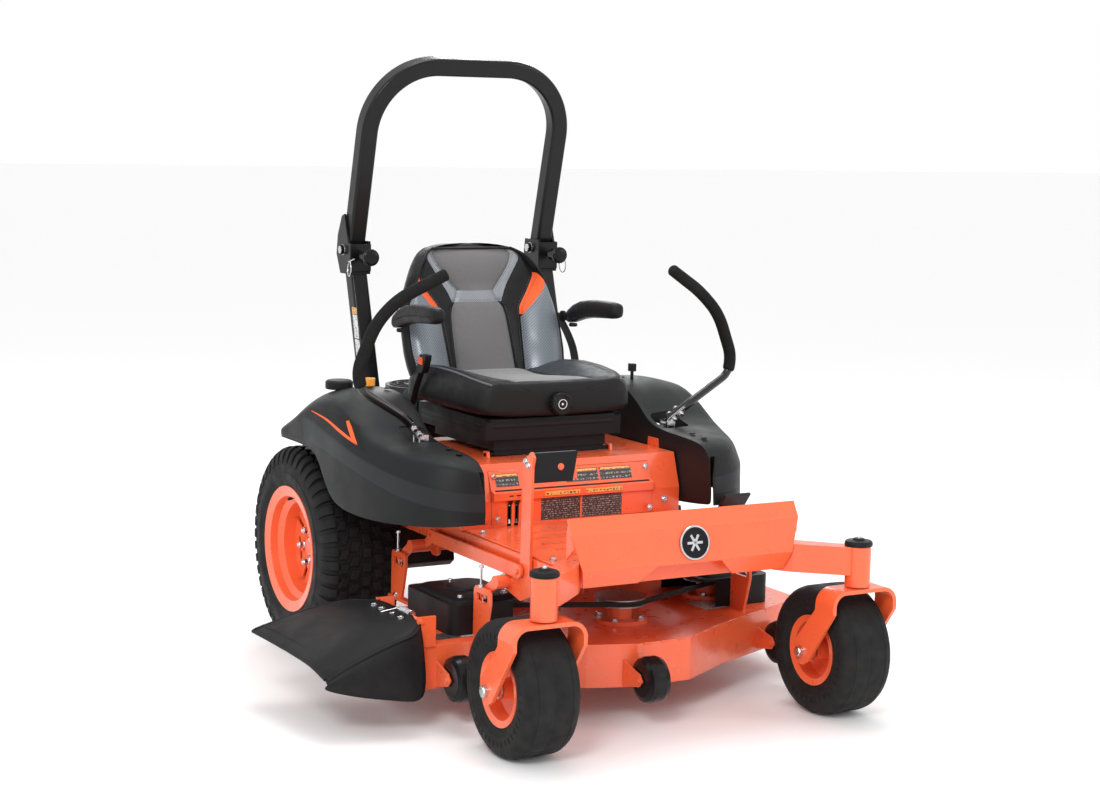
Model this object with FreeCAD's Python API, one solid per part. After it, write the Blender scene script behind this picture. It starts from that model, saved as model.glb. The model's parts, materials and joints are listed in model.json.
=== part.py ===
import FreeCAD, Part
import math
import os

# Zero turn mower with a rollover bar, a side-discharge deck and two steering levers.
# Millimetres. While it is drawn, X = 0 is the mower's centreline, +X is the operator's
# left, the mower faces -Y, Y = 0 is the rear axle line and Z = 0 is the ground. The whole
# model is moved at the end so that the origin is the centre of its footprint.

V = FreeCAD.Vector
X_AXIS = V(1, 0, 0)
Y_AXIS = V(0, 1, 0)
Z_AXIS = V(0, 0, 1)

# ---- driving dimensions -------------------------------------------------------------
RUNNING_FIT = 0.05                     # radial clearance of a turning shaft in its bore

REAR_TYRE_R = 288.0                    # 23 x 9.5-12 turf tyre
REAR_TYRE_W = 240.0
REAR_TRACK_HALF = 455.0
REAR_RIM_SEAT_R = 153.0
REAR_RIM_LIP_R = 176.0
REAR_DISC_OFFSET = 40.0                # wheel disc, outboard of the tyre's middle
LUG_CIRCLE_R = 57.15
LUG_COUNT = 5
AXLE_R = 17.5

CASTER_TYRE_R = 165.0                  # 13 x 6.5-6 smooth tyre
CASTER_TYRE_W = 154.0
CASTER_RIM_SEAT_R = 79.0
CASTER_RIM_LIP_R = 90.0
CASTER_X = 449.0
CASTER_PIVOT_Y = -1255.0
CASTER_TRAIL = 95.0
CASTER_BOLT_R = 10.0
FORK_TOP_Z = 343.0
FORK_BAR = 10.0
FORK_HALF_W = 98.0
STEM_R = 12.7
PIVOT_TUBE_R = 32.0
PIVOT_TUBE_TOP = 447.5

RAIL_X = (290.0, 330.0)
RAIL_Z = (375.0, 425.0)
RAIL_WALL = 3.0
FRAME_FRONT_Y = -1130.0
FRAME_REAR_Y = 470.0
REAR_Y = 600.0                         # rearmost face of the bumper
BUMPER_R = 19.0
HITCH_Y = 532.0                        # tow-pin hole in the hitch plate
HITCH_Z = 375.0
HITCH_T = 8.0
HITCH_R = 9.5
HITCH_BOLT_X = 50.0
HITCH_BOLT_R = 5.5

ROPS_X = 305.0
ROPS_TUBE = 50.0
ROPS_WALL = 4.0
ROPS_SIDE_GAP = 0.5                    # between the hoop's leg and the bracket's cheeks
ROPS_PLATE = 6.5
ROPS_PIVOT_Y = 166.0
ROPS_PIVOT_Z = 1110.0
ROPS_TOP_Z = 1665.0
ROPS_LEAN = 14.5                       # hoop leans forward, degrees
ROPS_POST_FOOT_Y = -44.0
ROPS_BEND_R = 195.0                    # on the tube's centreline
ROPS_BOLT_R = 8.0

SEAT_BOX_HALF = 334.0
SEAT_BOX_TOP = 592.0
SEAT_BOX_REAR_Y = -90.0
SHEET = 3.0

SEAT_HALF = 245.0
SEAT_HINGE_Y = -460.0
SEAT_HINGE_Z = 599.0
CUSHION_BOTTOM = 700.0

FENDER_INNER_X = 337.0
FENDER_OUTER_X = 575.0
FENDER_WALL = 4.0
CONSOLE_TOP = 745.0

DECK_LEFT_X = 620.0
DECK_RIGHT_X = -555.0
DECK_TOP = 200.0
DECK_BOTTOM = 90.0
DECK_REAR_Y = -430.0
DECK_WALL = 4.0
BLADE_R = 200.0
BLADE_Z = 101.0
SPINDLES = {"right": (-345.0, -640.0), "centre": (32.0, -800.0), "left": (410.0, -640.0)}
SPINDLE_R = 15.0
BELT_Z = (249.0, 261.0)
BELT_T = 8.0
BELT_GAP = 0.4
SPINDLE_SHEAVE_R = 58.0
ENGINE_SHEAVE_R = 50.0
IDLER_SHEAVE_R = 38.0
IDLER_X = 100.0
IDLER_Y = -480.0
CRANK_Y = 300.0
CRANK_R = 14.0

CHUTE_HINGE_X = -565.0
CHUTE_HINGE_Z = 265.0
CHUTE_TIP_X = -855.0

SCALP_R = 58.0
SCALP_W = 56.0
SCALP_Z = 126.0
SCALP_WHEELS = {"centre": (-60.0, -1108.0), "right": (-485.0, -908.0), "left": (460.0, -930.0)}
SCALP_BOLT_R = 6.0

LIFT_Z = 352.0
LIFT_FRONT_Y = -881.0
LIFT_REAR_Y = -392.0
LIFT_TUBE_R = 17.0
LIFT_CRANK = (70.0, -45.0)             # from the shaft to the deck pin, (Y, Z)
LIFT_LINK_ARM = (-62.0, 37.0)          # from the shaft to the link pin, (Y, Z)
LIFT_PIN_R = 6.0

LEVER_X = 385.0
LEVER_Y = -455.0
LEVER_HINGE_Z = 600.0
LEVER_SWING_Z = 652.0
LEVER_ROD_R = 11.5
GRIP_R = 17.0

PTO_AT = (-400.0, -160.0)
FUEL_CAP_AT = (-462.0, -100.0)
THROTTLE_AT = (400.0, -230.0, 725.0)   # the lever's pivot

BRAKE_PIVOT = (-620.0, 400.0)          # (Y, Z)

ARMREST_Y = -72.0
ARMREST_Z = 925.0

CASTER_FRONT_Y = CASTER_PIVOT_Y + CASTER_TRAIL - CASTER_TYRE_R
ORIGIN = V((DECK_LEFT_X + CHUTE_TIP_X) / 2, (REAR_Y + CASTER_FRONT_Y) / 2, 0)


# ---- drawing helpers ----------------------------------------------------------------
def slab(x, y, z):
    """Box between three pairs of limits."""
    return Part.makeBox(x[1] - x[0], y[1] - y[0], z[1] - z[0], V(x[0], y[0], z[0]))


def rod(start, end, radius):
    """Round bar between two points."""
    start = V(*start)
    run = V(*end) - start
    return Part.makeCylinder(radius, run.Length, start, run)


def pipe(start, end, outer, inner):
    return rod(start, end, outer).cut(rod(start, end, inner))


def corner_arc(before, corner, after, radius):
    """Arc of the given radius tangent to the two runs that meet at a corner."""
    to_before = (before - corner).normalize()
    to_after = (after - corner).normalize()
    half = to_before.getAngle(to_after) / 2
    reach = radius / math.tan(half)
    middle = (to_before + to_after).normalize()
    centre = corner + middle * (radius / math.sin(half))
    start = corner + to_before * reach
    end = corner + to_after * reach
    return start, Part.Arc(start, centre - middle * radius, end).toShape(), end


def rounded_wire(points, radius, closed=True):
    """Wire through the points with every corner rounded to one radius."""
    points = [V(*p) for p in points]
    count = len(points)
    corners = range(count) if closed else range(1, count - 1)
    arcs = [corner_arc(points[i - 1], points[i], points[(i + 1) % count], radius) for i in corners]
    edges = []
    place = arcs[-1][2] if closed else points[0]
    for start, arc, end in arcs:
        edges.append(Part.makeLine(place, start))
        edges.append(arc)
        place = end
    if not closed:
        edges.append(Part.makeLine(place, points[-1]))
    return Part.Wire(edges)


def outline_face(points, radius=0):
    """Flat face with straight sides, its corners rounded if a radius is given."""
    if radius:
        return Part.Face(rounded_wire(points, radius))
    return Part.Face(Part.makePolygon([V(*p) for p in points] + [V(*points[0])]))


def prism_x(outline, x, radius=0):
    """Outline of (y, z) points drawn out from x[0] to x[1]."""
    return outline_face([(x[0], y, z) for y, z in outline], radius).extrude(V(x[1] - x[0], 0, 0))


def prism_y(outline, y, radius=0):
    """Outline of (x, z) points drawn out from y[0] to y[1]."""
    return outline_face([(a, y[0], z) for a, z in outline], radius).extrude(V(0, y[1] - y[0], 0))


def prism_z(outline, z, radius=0):
    """Outline of (x, y) points drawn out from z[0] to z[1]."""
    return outline_face([(a, b, z[0]) for a, b in outline], radius).extrude(V(0, 0, z[1] - z[0]))


def turned_about_x(outline, centre, radius=0):
    """Outline of (x, r) points turned about a line along X through centre."""
    points = [(centre[0] + x, centre[1], centre[2] + r) for x, r in outline]
    return outline_face(points, radius).revolve(V(*centre), X_AXIS, 360)


def turned_about_z(outline, centre):
    """Outline of (r, z) points turned about a vertical line through centre."""
    points = [(centre[0] + r, centre[1], z) for r, z in outline]
    return outline_face(points).revolve(V(centre[0], centre[1], 0), Z_AXIS, 360)


def bent_tube(points, bend_radius, tube_radius):
    """Round tube or bar along straight runs joined by tangent arcs."""
    path = rounded_wire(points, bend_radius, closed=False)
    start = V(*points[0])
    run = V(*points[1]) - start
    section = Part.Wire(Part.makeCircle(tube_radius, start, run))
    return path.makePipeShell([section], True, False)


def fused(shapes):
    """One clean solid from several that touch or overlap."""
    return shapes[0].multiFuse(shapes[1:]).removeSplitter()


def mirrored(shape):
    """The same shape on the other side of the mower's centreline."""
    return shape.mirror(V(0, 0, 0), X_AXIS)


def belt_loop(pulleys, grow_inside, grow_outside):
    """Closed belt edge round pulleys given as (x, y, r, turn).

    turn is +1 where the belt goes round anticlockwise and -1 where it goes clockwise. The
    edge stands off an anticlockwise pulley by grow_inside and a clockwise one by grow_outside.
    """
    rings = [(V(x, y, 0), turn * (r + (grow_inside if turn > 0 else grow_outside)))
             for x, y, r, turn in pulleys]
    ends = []
    for i, (centre, signed) in enumerate(rings):
        next_centre, next_signed = rings[(i + 1) % len(rings)]
        gap = next_centre - centre
        angle = math.atan2(gap.y, gap.x) + math.asin((signed - next_signed) / gap.Length)
        left = V(-math.sin(angle), math.cos(angle), 0)
        ends.append((centre - left * signed, next_centre - left * next_signed, left))
    edges = []
    for i, (leave, arrive, left) in enumerate(ends):
        centre, signed = rings[(i + 1) % len(rings)]
        next_leave, _, next_left = ends[(i + 1) % len(rings)]
        middle = (left + next_left).normalize()
        edges.append(Part.makeLine(leave, arrive))
        edges.append(Part.Arc(arrive, centre - middle * signed, next_leave).toShape())
    return Part.Wire(edges)


# ---- wheels -------------------------------------------------------------------------
def tyre(centre, section, cavity, radius):
    """Tyre whose cavity is open towards the rim, from two halves of (x, r) points."""
    whole = [(-x, r) for x, r in section] + section[::-1]
    hollow = [(-x, r) for x, r in cavity] + cavity[::-1]
    body = turned_about_x(whole, centre, radius)
    return body.cut(turned_about_x(hollow, centre, radius * 0.7))


def rear_tyre():
    half = REAR_TYRE_W / 2
    section = [(half - 20, REAR_RIM_SEAT_R), (half, 214), (half - 10, REAR_TYRE_R)]
    cavity = [(half - 32, REAR_RIM_SEAT_R - 30), (half - 13, 214), (half - 24, REAR_TYRE_R - 16)]
    return tyre((REAR_TRACK_HALF, 0, REAR_TYRE_R), section, cavity, 26)


def wheel_slots(disc_x):
    """Eight rounded vents in the wheel disc, alternately along and across the radius."""
    slots = []
    for i in range(8):
        along = i % 2 == 1
        half_long, half_wide = (33, 8) if along else (8, 34)
        middle_r = 92
        outline = [(middle_r - half_long, -half_wide), (middle_r + half_long, -half_wide),
                   (middle_r + half_long, half_wide), (middle_r - half_long, half_wide)]
        slot = prism_x(outline, (disc_x - 20, disc_x + 20), 7.5)
        slots.append(slot.rotate(V(0, 0, 0), X_AXIS, 45 * i - 13))
    return slots


def rear_rim():
    """Stepped steel rim, its disc, hub flange, axle stub and wheel nuts."""
    half = REAR_TYRE_W / 2 - 5
    seat = REAR_RIM_SEAT_R - 1
    lip = REAR_RIM_LIP_R
    disc = REAR_DISC_OFFSET
    section = [(half, lip), (half - 7, lip), (half - 10, seat), (84, seat - 4), (76, 132), (20, 128),
               (0, seat - 6), (-half + 10, seat), (-half + 7, lip), (-half, lip), (-half + 5, seat - 6),
               (-2, seat - 11), (18, 122), (disc - 4, 122), (disc - 4, 36), (disc, 36), (disc + 1, 122),
               (76, 127), (88, seat - 9), (half - 6, seat - 5)]
    centre = (REAR_TRACK_HALF, 0, REAR_TYRE_R)
    rim = turned_about_x(section, (0, 0, 0))
    rim = rim.cut(Part.makeCompound(wheel_slots(disc)))
    flange = rod((disc - 18, 0, 0), (disc - 4, 0, 0), 70)
    stub = rod((-205, 0, 0), (disc - 4, 0, 0), AXLE_R)
    cap = rod((disc - 6, 0, 0), (disc + 14, 0, 0), 24)
    nuts = []
    for i in range(LUG_COUNT):
        angle = math.radians(360 / LUG_COUNT * i - 13)
        y, z = LUG_CIRCLE_R * math.cos(angle), LUG_CIRCLE_R * math.sin(angle)
        nuts.append(rod((disc - 8, y, z), (disc + 12, y, z), 9))
    wheel = fused([rim, flange, stub, cap] + nuts)
    wheel.translate(V(*centre))
    return wheel


def caster_axle():
    return (CASTER_X, CASTER_PIVOT_Y + CASTER_TRAIL, CASTER_TYRE_R)


def caster_tyre():
    half = CASTER_TYRE_W / 2
    section = [(half - 22, CASTER_RIM_SEAT_R), (half, 122), (half - 6, CASTER_TYRE_R)]
    cavity = [(half - 31, CASTER_RIM_SEAT_R - 20), (half - 12, 122), (half - 18, CASTER_TYRE_R - 13)]
    return tyre(caster_axle(), section, cavity, 24)


def caster_rim():
    """Dished steel rim on a hub tube that turns on the fork's bolt."""
    seat = CASTER_RIM_SEAT_R - 1
    section = [(66, CASTER_RIM_LIP_R), (61, CASTER_RIM_LIP_R), (58, seat), (-58, seat),
               (-61, CASTER_RIM_LIP_R), (-66, CASTER_RIM_LIP_R), (-62, seat - 5), (-26, seat - 7),
               (-8, 52), (-8, 30), (-70, 22), (-70, 16), (70, 16), (70, 22), (8, 30), (8, 52),
               (26, seat - 7), (62, seat - 5)]
    bore = CASTER_BOLT_R + RUNNING_FIT
    section = [(x, bore if r == 16 else r) for x, r in section]
    return turned_about_x(section, caster_axle())


def caster_fork():
    """Bent flat-bar fork: square shoulders, arms raked back to the wheel bolt, and a stem."""
    axle_y = CASTER_PIVOT_Y + CASTER_TRAIL
    side = [(CASTER_PIVOT_Y - 36, FORK_TOP_Z), (CASTER_PIVOT_Y - 36, 285), (axle_y - 30, CASTER_TYRE_R - 20),
            (axle_y - 10, CASTER_TYRE_R - 32), (axle_y + 12, CASTER_TYRE_R - 30),
            (axle_y + 30, CASTER_TYRE_R - 8), (axle_y + 28, CASTER_TYRE_R + 22),
            (CASTER_PIVOT_Y + 40, 285), (CASTER_PIVOT_Y + 36, FORK_TOP_Z)]
    blank = prism_x(side, (CASTER_X - FORK_HALF_W, CASTER_X + FORK_HALF_W))
    depth = (CASTER_PIVOT_Y - 60, axle_y + 60)
    outer_half = FORK_HALF_W
    inner_half = FORK_HALF_W - FORK_BAR
    foot = -60
    outer = [(CASTER_X - outer_half, foot), (CASTER_X + outer_half, foot),
             (CASTER_X + outer_half, FORK_TOP_Z), (CASTER_X - outer_half, FORK_TOP_Z)]
    inner = [(CASTER_X - inner_half, foot), (CASTER_X + inner_half, foot),
             (CASTER_X + inner_half, FORK_TOP_Z - FORK_BAR), (CASTER_X - inner_half, FORK_TOP_Z - FORK_BAR)]
    bar = prism_y(outer, depth, 40).cut(prism_y(inner, depth, 30))
    stem = rod((CASTER_X, CASTER_PIVOT_Y, FORK_TOP_Z - 2), (CASTER_X, CASTER_PIVOT_Y, 449), STEM_R)
    fork = fused([blank.common(bar), stem])
    x, y, z = caster_axle()
    return fork.cut(rod((x - 120, y, z), (x + 120, y, z), CASTER_BOLT_R))


def caster_hardware():
    """Dust cap with its grease nipple, and the wheel bolt with its head, nut and spacers."""
    x, y, z = caster_axle()
    pivot = (CASTER_X, CASTER_PIVOT_Y)
    cap = turned_about_z([(0, 449), (0, 472), (4, 472), (4, 466), (12, 466), (14, 462), (31, 460),
                          (34, 456), (34, 449)], pivot)
    bolt = rod((x - 98, y, z), (x + 98, y, z), CASTER_BOLT_R)
    ends = [rod((x + side * 98, y, z), (x + side * 107, y, z), 15) for side in (-1, 1)]
    spacers = [pipe((x + side * 72, y, z), (x + side * 88, y, z), 15, CASTER_BOLT_R) for side in (-1, 1)]
    return Part.makeCompound([cap, fused([bolt] + ends + spacers)])


# ---- frame and bodywork -------------------------------------------------------------
def box_tube(x, y, z, wall):
    """Rectangular tube along Y."""
    return slab(x, y, z).cut(slab((x[0] + wall, x[1] - wall), y, (z[0] + wall, z[1] - wall)))


def front_arm():
    """Raked arm from the front beam out to the caster's pivot tube."""
    bottom, top = 376.0, PIVOT_TUBE_TOP
    plan = [(280, -1130), (309, -1170), (411, -1262), (CASTER_X, -1276), (CASTER_X, -1232),
            (418, -1206), (330, -1112), (280, -1080)]
    arm = prism_z(plan, (bottom, top))
    tube = rod((CASTER_X, CASTER_PIVOT_Y, FORK_TOP_Z + 3), (CASTER_X, CASTER_PIVOT_Y, top), PIVOT_TUBE_R)
    bore = rod((CASTER_X, CASTER_PIVOT_Y, 300), (CASTER_X, CASTER_PIVOT_Y, 500), STEM_R + RUNNING_FIT)
    return fused([arm, tube]).cut(bore)


def lift_bearing(y):
    """Hanger plate below the rail that carries a lift shaft."""
    plate = prism_x([(y - 30, RAIL_Z[0]), (y - 24, LIFT_Z - 22), (y - 10, LIFT_Z - 30),
                     (y + 10, LIFT_Z - 30), (y + 24, LIFT_Z - 22), (y + 30, RAIL_Z[0])], (300, 308))
    return plate.cut(rod((290, y, LIFT_Z), (320, y, LIFT_Z), LIFT_TUBE_R + RUNNING_FIT))


def frame_side():
    """Left-hand rail with everything welded to it."""
    rail = box_tube(RAIL_X, (FRAME_FRONT_Y, FRAME_REAR_Y), RAIL_Z, RAIL_WALL)
    axle_plate = slab((301, 309), (-62, 78), (RAIL_Z[0] - 100, RAIL_Z[0]))
    axle_plate = axle_plate.cut(rod((290, 0, REAR_TYRE_R), (320, 0, REAR_TYRE_R), AXLE_R + 3))
    tower = prism_x([(-505, RAIL_Z[1] - 6), (-480, 616), (-430, 616), (-416, 520), (-455, 434),
                     (-455, RAIL_Z[1] - 6)], (336, 342))
    tower_foot = slab((RAIL_X[1] - 1, 342), (-505, -455), (RAIL_Z[1] - 6, RAIL_Z[1]))
    lever_pin = rod((337, LEVER_Y, LEVER_HINGE_Z), (398, LEVER_Y, LEVER_HINGE_Z), 8)
    parts = [rail, axle_plate, tower, tower_foot, lever_pin]
    return parts + [lift_bearing(LIFT_FRONT_Y), lift_bearing(LIFT_REAR_Y), front_arm()]


def main_frame():
    """Welded ladder frame: two rails, cross tubes, front arms, pivot tubes, engine plate."""
    inside = (-RAIL_X[0] - 1, RAIL_X[0] + 1)
    cross = [slab(inside, (-1128, -1080), (380, 425)),
             slab(inside, (-560, -525), (378, 422)),
             slab(inside, (-70, -25), (378, 422)),
             slab(inside, (430, 468), (378, 422))]
    engine_plate = slab((-RAIL_X[1] + 8, RAIL_X[1] - 8), (110, 460), (RAIL_Z[1], RAIL_Z[1] + 6))
    engine_plate = engine_plate.cut(rod((0, CRANK_Y, 400), (0, CRANK_Y, 450), 45))
    brake_pin = rod((RAIL_X[1] - 1, *BRAKE_PIVOT), (366, *BRAKE_PIVOT), 8)
    sides = []
    for piece in frame_side():
        sides += [piece, mirrored(piece)]
    return fused(cross + [engine_plate, brake_pin] + sides)


def rear_bumper():
    """Bent guard tube round the engine, with a hitch plate under it."""
    middle_y = REAR_Y - BUMPER_R
    low = bent_tube([(-310, FRAME_REAR_Y, 400), (-310, middle_y, 400), (310, middle_y, 400),
                     (310, FRAME_REAR_Y, 400)], 90, BUMPER_R)
    guard = bent_tube([(-230, middle_y, 400), (-230, middle_y, 560), (230, middle_y, 560),
                       (230, middle_y, 400)], 70, 15)
    plate = slab((-70, 70), (HITCH_Y - 28, middle_y), (HITCH_Z, HITCH_Z + HITCH_T))
    holes = [rod((x, HITCH_Y, 300), (x, HITCH_Y, 395), r) for x, r in
             ((0, HITCH_R), (-HITCH_BOLT_X, HITCH_BOLT_R), (HITCH_BOLT_X, HITCH_BOLT_R))]
    return fused([low, guard, plate]).cut(Part.makeCompound(holes))


def floor_pan():
    """Foot pan between the seat box and the toe guard, with pressed ribs."""
    sheet = prism_x([(-600, 426), (-1112, 426), (-1140, 438), (-1138, 442), (-1111, 430), (-600, 430)],
                    (-322, 322))
    plan = [(-322, -600), (-322, -1072), (-276, -1072), (-276, -1145), (276, -1145), (276, -1072),
            (322, -1072), (322, -600)]
    pan = sheet.common(prism_z(plan, (400, 460)))
    ribs = [slab((-230, 230), (y - 6, y + 6), (429, 434)) for y in range(-1060, -640, 70)]
    return fused([pan] + ribs)


def toe_guard():
    """Bent front plate: a leaning top flange, a face with a notch, and side gussets."""
    front = [(-1142, 552), (-1164, 514), (-1178, 430), (-1158, 385)]
    back = [(-1154, 386), (-1173, 431), (-1160, 513), (-1138, 550)]
    sheet = prism_x(front + back, (-330, 330))
    silhouette = [(-327, 560), (-327, 514), (-288, 380), (-142, 380), (-93, 425), (93, 425),
                  (142, 380), (288, 380), (327, 514), (327, 560)]
    face = sheet.common(prism_y(silhouette, (-1200, -1100)))
    gusset = prism_x([(-1141, 550), (-1163, 514), (-1165, 480), (-1132, 452), (-1132, 520)], (318, 323))
    stay = slab((240, 246), (-1160, -1128.5), (400, 420))
    parts = [face, gusset, mirrored(gusset), stay, mirrored(stay)]
    return fused(parts)


def seat_box():
    """Folded sheet box under the seat: front with a hatch opening, top and sides."""
    side = [(-600, 427), (-600, 500), (-568, SEAT_BOX_TOP), (SEAT_BOX_REAR_Y, SEAT_BOX_TOP),
            (SEAT_BOX_REAR_Y, 427)]
    hollow = [(-600 + SHEET, 400), (-600 + SHEET, 500), (-565, SEAT_BOX_TOP - SHEET),
              (SEAT_BOX_REAR_Y + 40, SEAT_BOX_TOP - SHEET), (SEAT_BOX_REAR_Y + 40, 400)]
    half = SEAT_BOX_HALF
    shell = prism_x(side, (-half, half)).cut(prism_x(hollow, (-half + SHEET, half - SHEET)))
    hatch_hole = slab((-246, 246), (-620, -540), (436, 574))
    lug = prism_x([(-474, SEAT_BOX_TOP - 1), (-470, 608), (-450, 608), (-446, SEAT_BOX_TOP - 1)], (186, 194))
    box = fused([shell.cut(hatch_hole), lug, mirrored(lug)])
    pin_hole = rod((-220, SEAT_HINGE_Y, SEAT_HINGE_Z), (220, SEAT_HINGE_Y, SEAT_HINGE_Z), 5 + RUNNING_FIT)
    return box.cut(pin_hole)


def service_hatch():
    """Stepped panel that closes the front of the seat box, with a gauge slot."""
    outline = [(-601, 437), (-597, 437), (-597, 500), (-571, 573), (-576, 573), (-596, 527),
               (-612, 521), (-612, 500), (-601, 496)]
    panel = prism_x(outline, (-245, 245))
    slots = [slab((x - 4, x + 4), (-620, -590), (440, 488)) for x in (-193, -172)]
    return panel.cut(Part.makeCompound(slots))


def fender():
    """Moulded left wing: hollow, open inboard, arched round the tyre, console on top."""
    arch_r = 318.0
    outline = [(40, 620), (40, 660), (0, 700), (-60, CONSOLE_TOP), (-300, CONSOLE_TOP), (-385, 690),
               (-440, 645), (-690, 640), (-735, 600), (-748, 470), (-600, 448), (-360, 448)]
    for degrees in (150, 135, 120):
        angle = math.radians(degrees)
        outline.append((arch_r * math.cos(angle), REAR_TYRE_R + (arch_r + 12) * math.sin(angle)))
    outline.append((-60, 622))
    plan = [(FENDER_INNER_X, 60), (FENDER_OUTER_X, 60), (FENDER_OUTER_X, -330), (556, -500), (500, -668),
            (430, -748), (FENDER_INNER_X, -748)]
    side_face = outline_face([(FENDER_INNER_X, y, z) for y, z in outline])
    plan_face = outline_face([(x, y, 400) for x, y in plan])
    outer = side_face.extrude(V(260, 0, 0)).common(plan_face.extrude(V(0, 0, 400)))
    hollow_side = side_face.makeOffset2D(-FENDER_WALL)
    hollow_side.translate(V(-20, 0, 0))
    hollow_plan = plan_face.makeOffset2D(-FENDER_WALL)
    hollow_plan = hollow_plan.extrude(V(0, 0, 400))
    hollow_plan = hollow_plan.fuse(slab((FENDER_INNER_X - 20, FENDER_INNER_X + 6),
                                        (-744, 50), (400, 800)))
    hollow = hollow_side.extrude(V(300, 0, 0)).common(hollow_plan)
    lever_gap = slab((352, 420), (-505, -405), (600, 760))
    tower_gap = slab((FENDER_INNER_X - 1, 349), (-508, -402), (440, 460))
    return outer.cut(hollow).cut(lever_gap).cut(tower_gap)


def fender_right():
    """Right wing with the hole for the blade switch."""
    x, y = PTO_AT
    hole = rod((x, y, CONSOLE_TOP - 30), (x, y, CONSOLE_TOP + 30), 5 + RUNNING_FIT)
    return mirrored(fender()).cut(hole)


def fender_left():
    """Left wing with the throttle slot."""
    x, y, z = THROTTLE_AT
    return fender().cut(slab((x - 4, x + 4), (y - 34, y + 34), (z - 10, CONSOLE_TOP + 10)))


# ---- rollover bar -------------------------------------------------------------------
def rops_post():
    """Left lower post with the forked bracket and bolt that carry the hoop."""
    half = ROPS_TUBE / 2
    slope = (ROPS_PIVOT_Y - ROPS_POST_FOOT_Y) / (ROPS_PIVOT_Z - RAIL_Z[1])
    top_z = ROPS_PIVOT_Z - 38
    top_y = ROPS_POST_FOOT_Y + slope * (top_z - RAIL_Z[1])
    rise = V(0, top_y - ROPS_POST_FOOT_Y, top_z - RAIL_Z[1])
    walls = []
    for reach, corner in ((half, 8), (half - ROPS_WALL, 4)):
        section = outline_face([(ROPS_X + a * reach, ROPS_POST_FOOT_Y + b * reach, RAIL_Z[1])
                                for a, b in ((-1, -1), (1, -1), (1, 1), (-1, 1))], corner)
        walls.append(section.extrude(rise))
    post = walls[0].cut(walls[1])
    ear = [(118, 1042), (186, 1042), (214, 1096), (206, 1150), (178, 1206), (160, 1212), (150, 1180),
           (132, 1130), (118, 1130)]
    near = half + ROPS_SIDE_GAP
    far = near + ROPS_PLATE
    cheek = prism_x(ear, (near, far))
    low_cheek = prism_x([(118, 1042), (186, 1042), (206, 1096), (200, 1136), (118, 1136)], (-far, -near))
    bridge = slab((-far, far), (114, 120), (1050, 1128))
    clamp = slab((-far, far), (118, 184), (1042, 1048))
    bracket = fused([cheek, low_cheek, bridge, clamp])
    bracket.translate(V(ROPS_X, 0, 0))
    pivot_y, pivot_z = ROPS_PIVOT_Y, ROPS_PIVOT_Z
    bolt_hole = rod((ROPS_X - 50, pivot_y, pivot_z), (ROPS_X + 50, pivot_y, pivot_z), ROPS_BOLT_R)
    bolt = rod((ROPS_X - 32, pivot_y, pivot_z), (ROPS_X + 32, pivot_y, pivot_z), ROPS_BOLT_R)
    heads = [rod((ROPS_X + side * 32, pivot_y, pivot_z), (ROPS_X + side * 43, pivot_y, pivot_z), 14)
             for side in (-1, 1)]
    return Part.makeCompound([fused([post, bracket]).cut(bolt_hole), fused([bolt] + heads)])


def square_sweep(path, half, corner):
    """Square bar of half width `half` swept from the foot of the left-hand leg."""
    section = rounded_wire([(-ROPS_X - half, -half, -18), (-ROPS_X + half, -half, -18),
                            (-ROPS_X + half, half, -18), (-ROPS_X - half, half, -18)], corner)
    return path.makePipeShell([section], True, False)


def rops_hoop():
    """Folding upper hoop of square tube with rounded edges."""
    half = ROPS_TUBE / 2
    lean = math.radians(ROPS_LEAN)
    height = (ROPS_TOP_Z - ROPS_PIVOT_Z - half * math.cos(lean)) / math.cos(lean) - half * math.tan(lean)
    path = rounded_wire([(-ROPS_X, 0, -18), (-ROPS_X, 0, height), (ROPS_X, 0, height), (ROPS_X, 0, -18)],
                        ROPS_BEND_R, closed=False)
    hoop = square_sweep(path, half, 8).cut(square_sweep(path, half - ROPS_WALL, 4))
    for side in (-1, 1):
        hoop = hoop.cut(rod((side * ROPS_X - 40, 0, 0), (side * ROPS_X + 40, 0, 0),
                            ROPS_BOLT_R + RUNNING_FIT))
    hoop.rotate(V(0, 0, 0), X_AXIS, ROPS_LEAN)
    hoop.translate(V(0, ROPS_PIVOT_Y, ROPS_PIVOT_Z))
    return hoop


def rops_knob():
    """Clamp knob on the front of the bracket."""
    knob = [rod((ROPS_X, 60, 1094), (ROPS_X, 84, 1094), 18), rod((ROPS_X, 82, 1094), (ROPS_X, 113.5, 1094), 8)]
    return fused(knob)


# ---- steering levers ----------------------------------------------------------------
def lever_bracket():
    """Forked bracket that swings fore and aft and carries the lever's own hinge."""
    x, y = LEVER_X, LEVER_Y
    barrel = rod((x - 22, y, LEVER_HINGE_Z), (x + 10, y, LEVER_HINGE_Z), 15)
    cheeks = [slab((x - 16, x + 10), (y + side - 3, y + side + 3), (LEVER_HINGE_Z, LEVER_SWING_Z + 12))
              for side in (-17, 17)]
    base = slab((x - 16, x + 10), (y - 20, y + 20), (LEVER_HINGE_Z, LEVER_HINGE_Z + 24))
    pin = rod((x - 3, y - 24, LEVER_SWING_Z), (x - 3, y + 24, LEVER_SWING_Z), 6)
    bore = rod((x - 60, y, LEVER_HINGE_Z), (x + 60, y, LEVER_HINGE_Z), 8 + RUNNING_FIT)
    return fused([barrel, base, pin] + cheeks).cut(bore)


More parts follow.
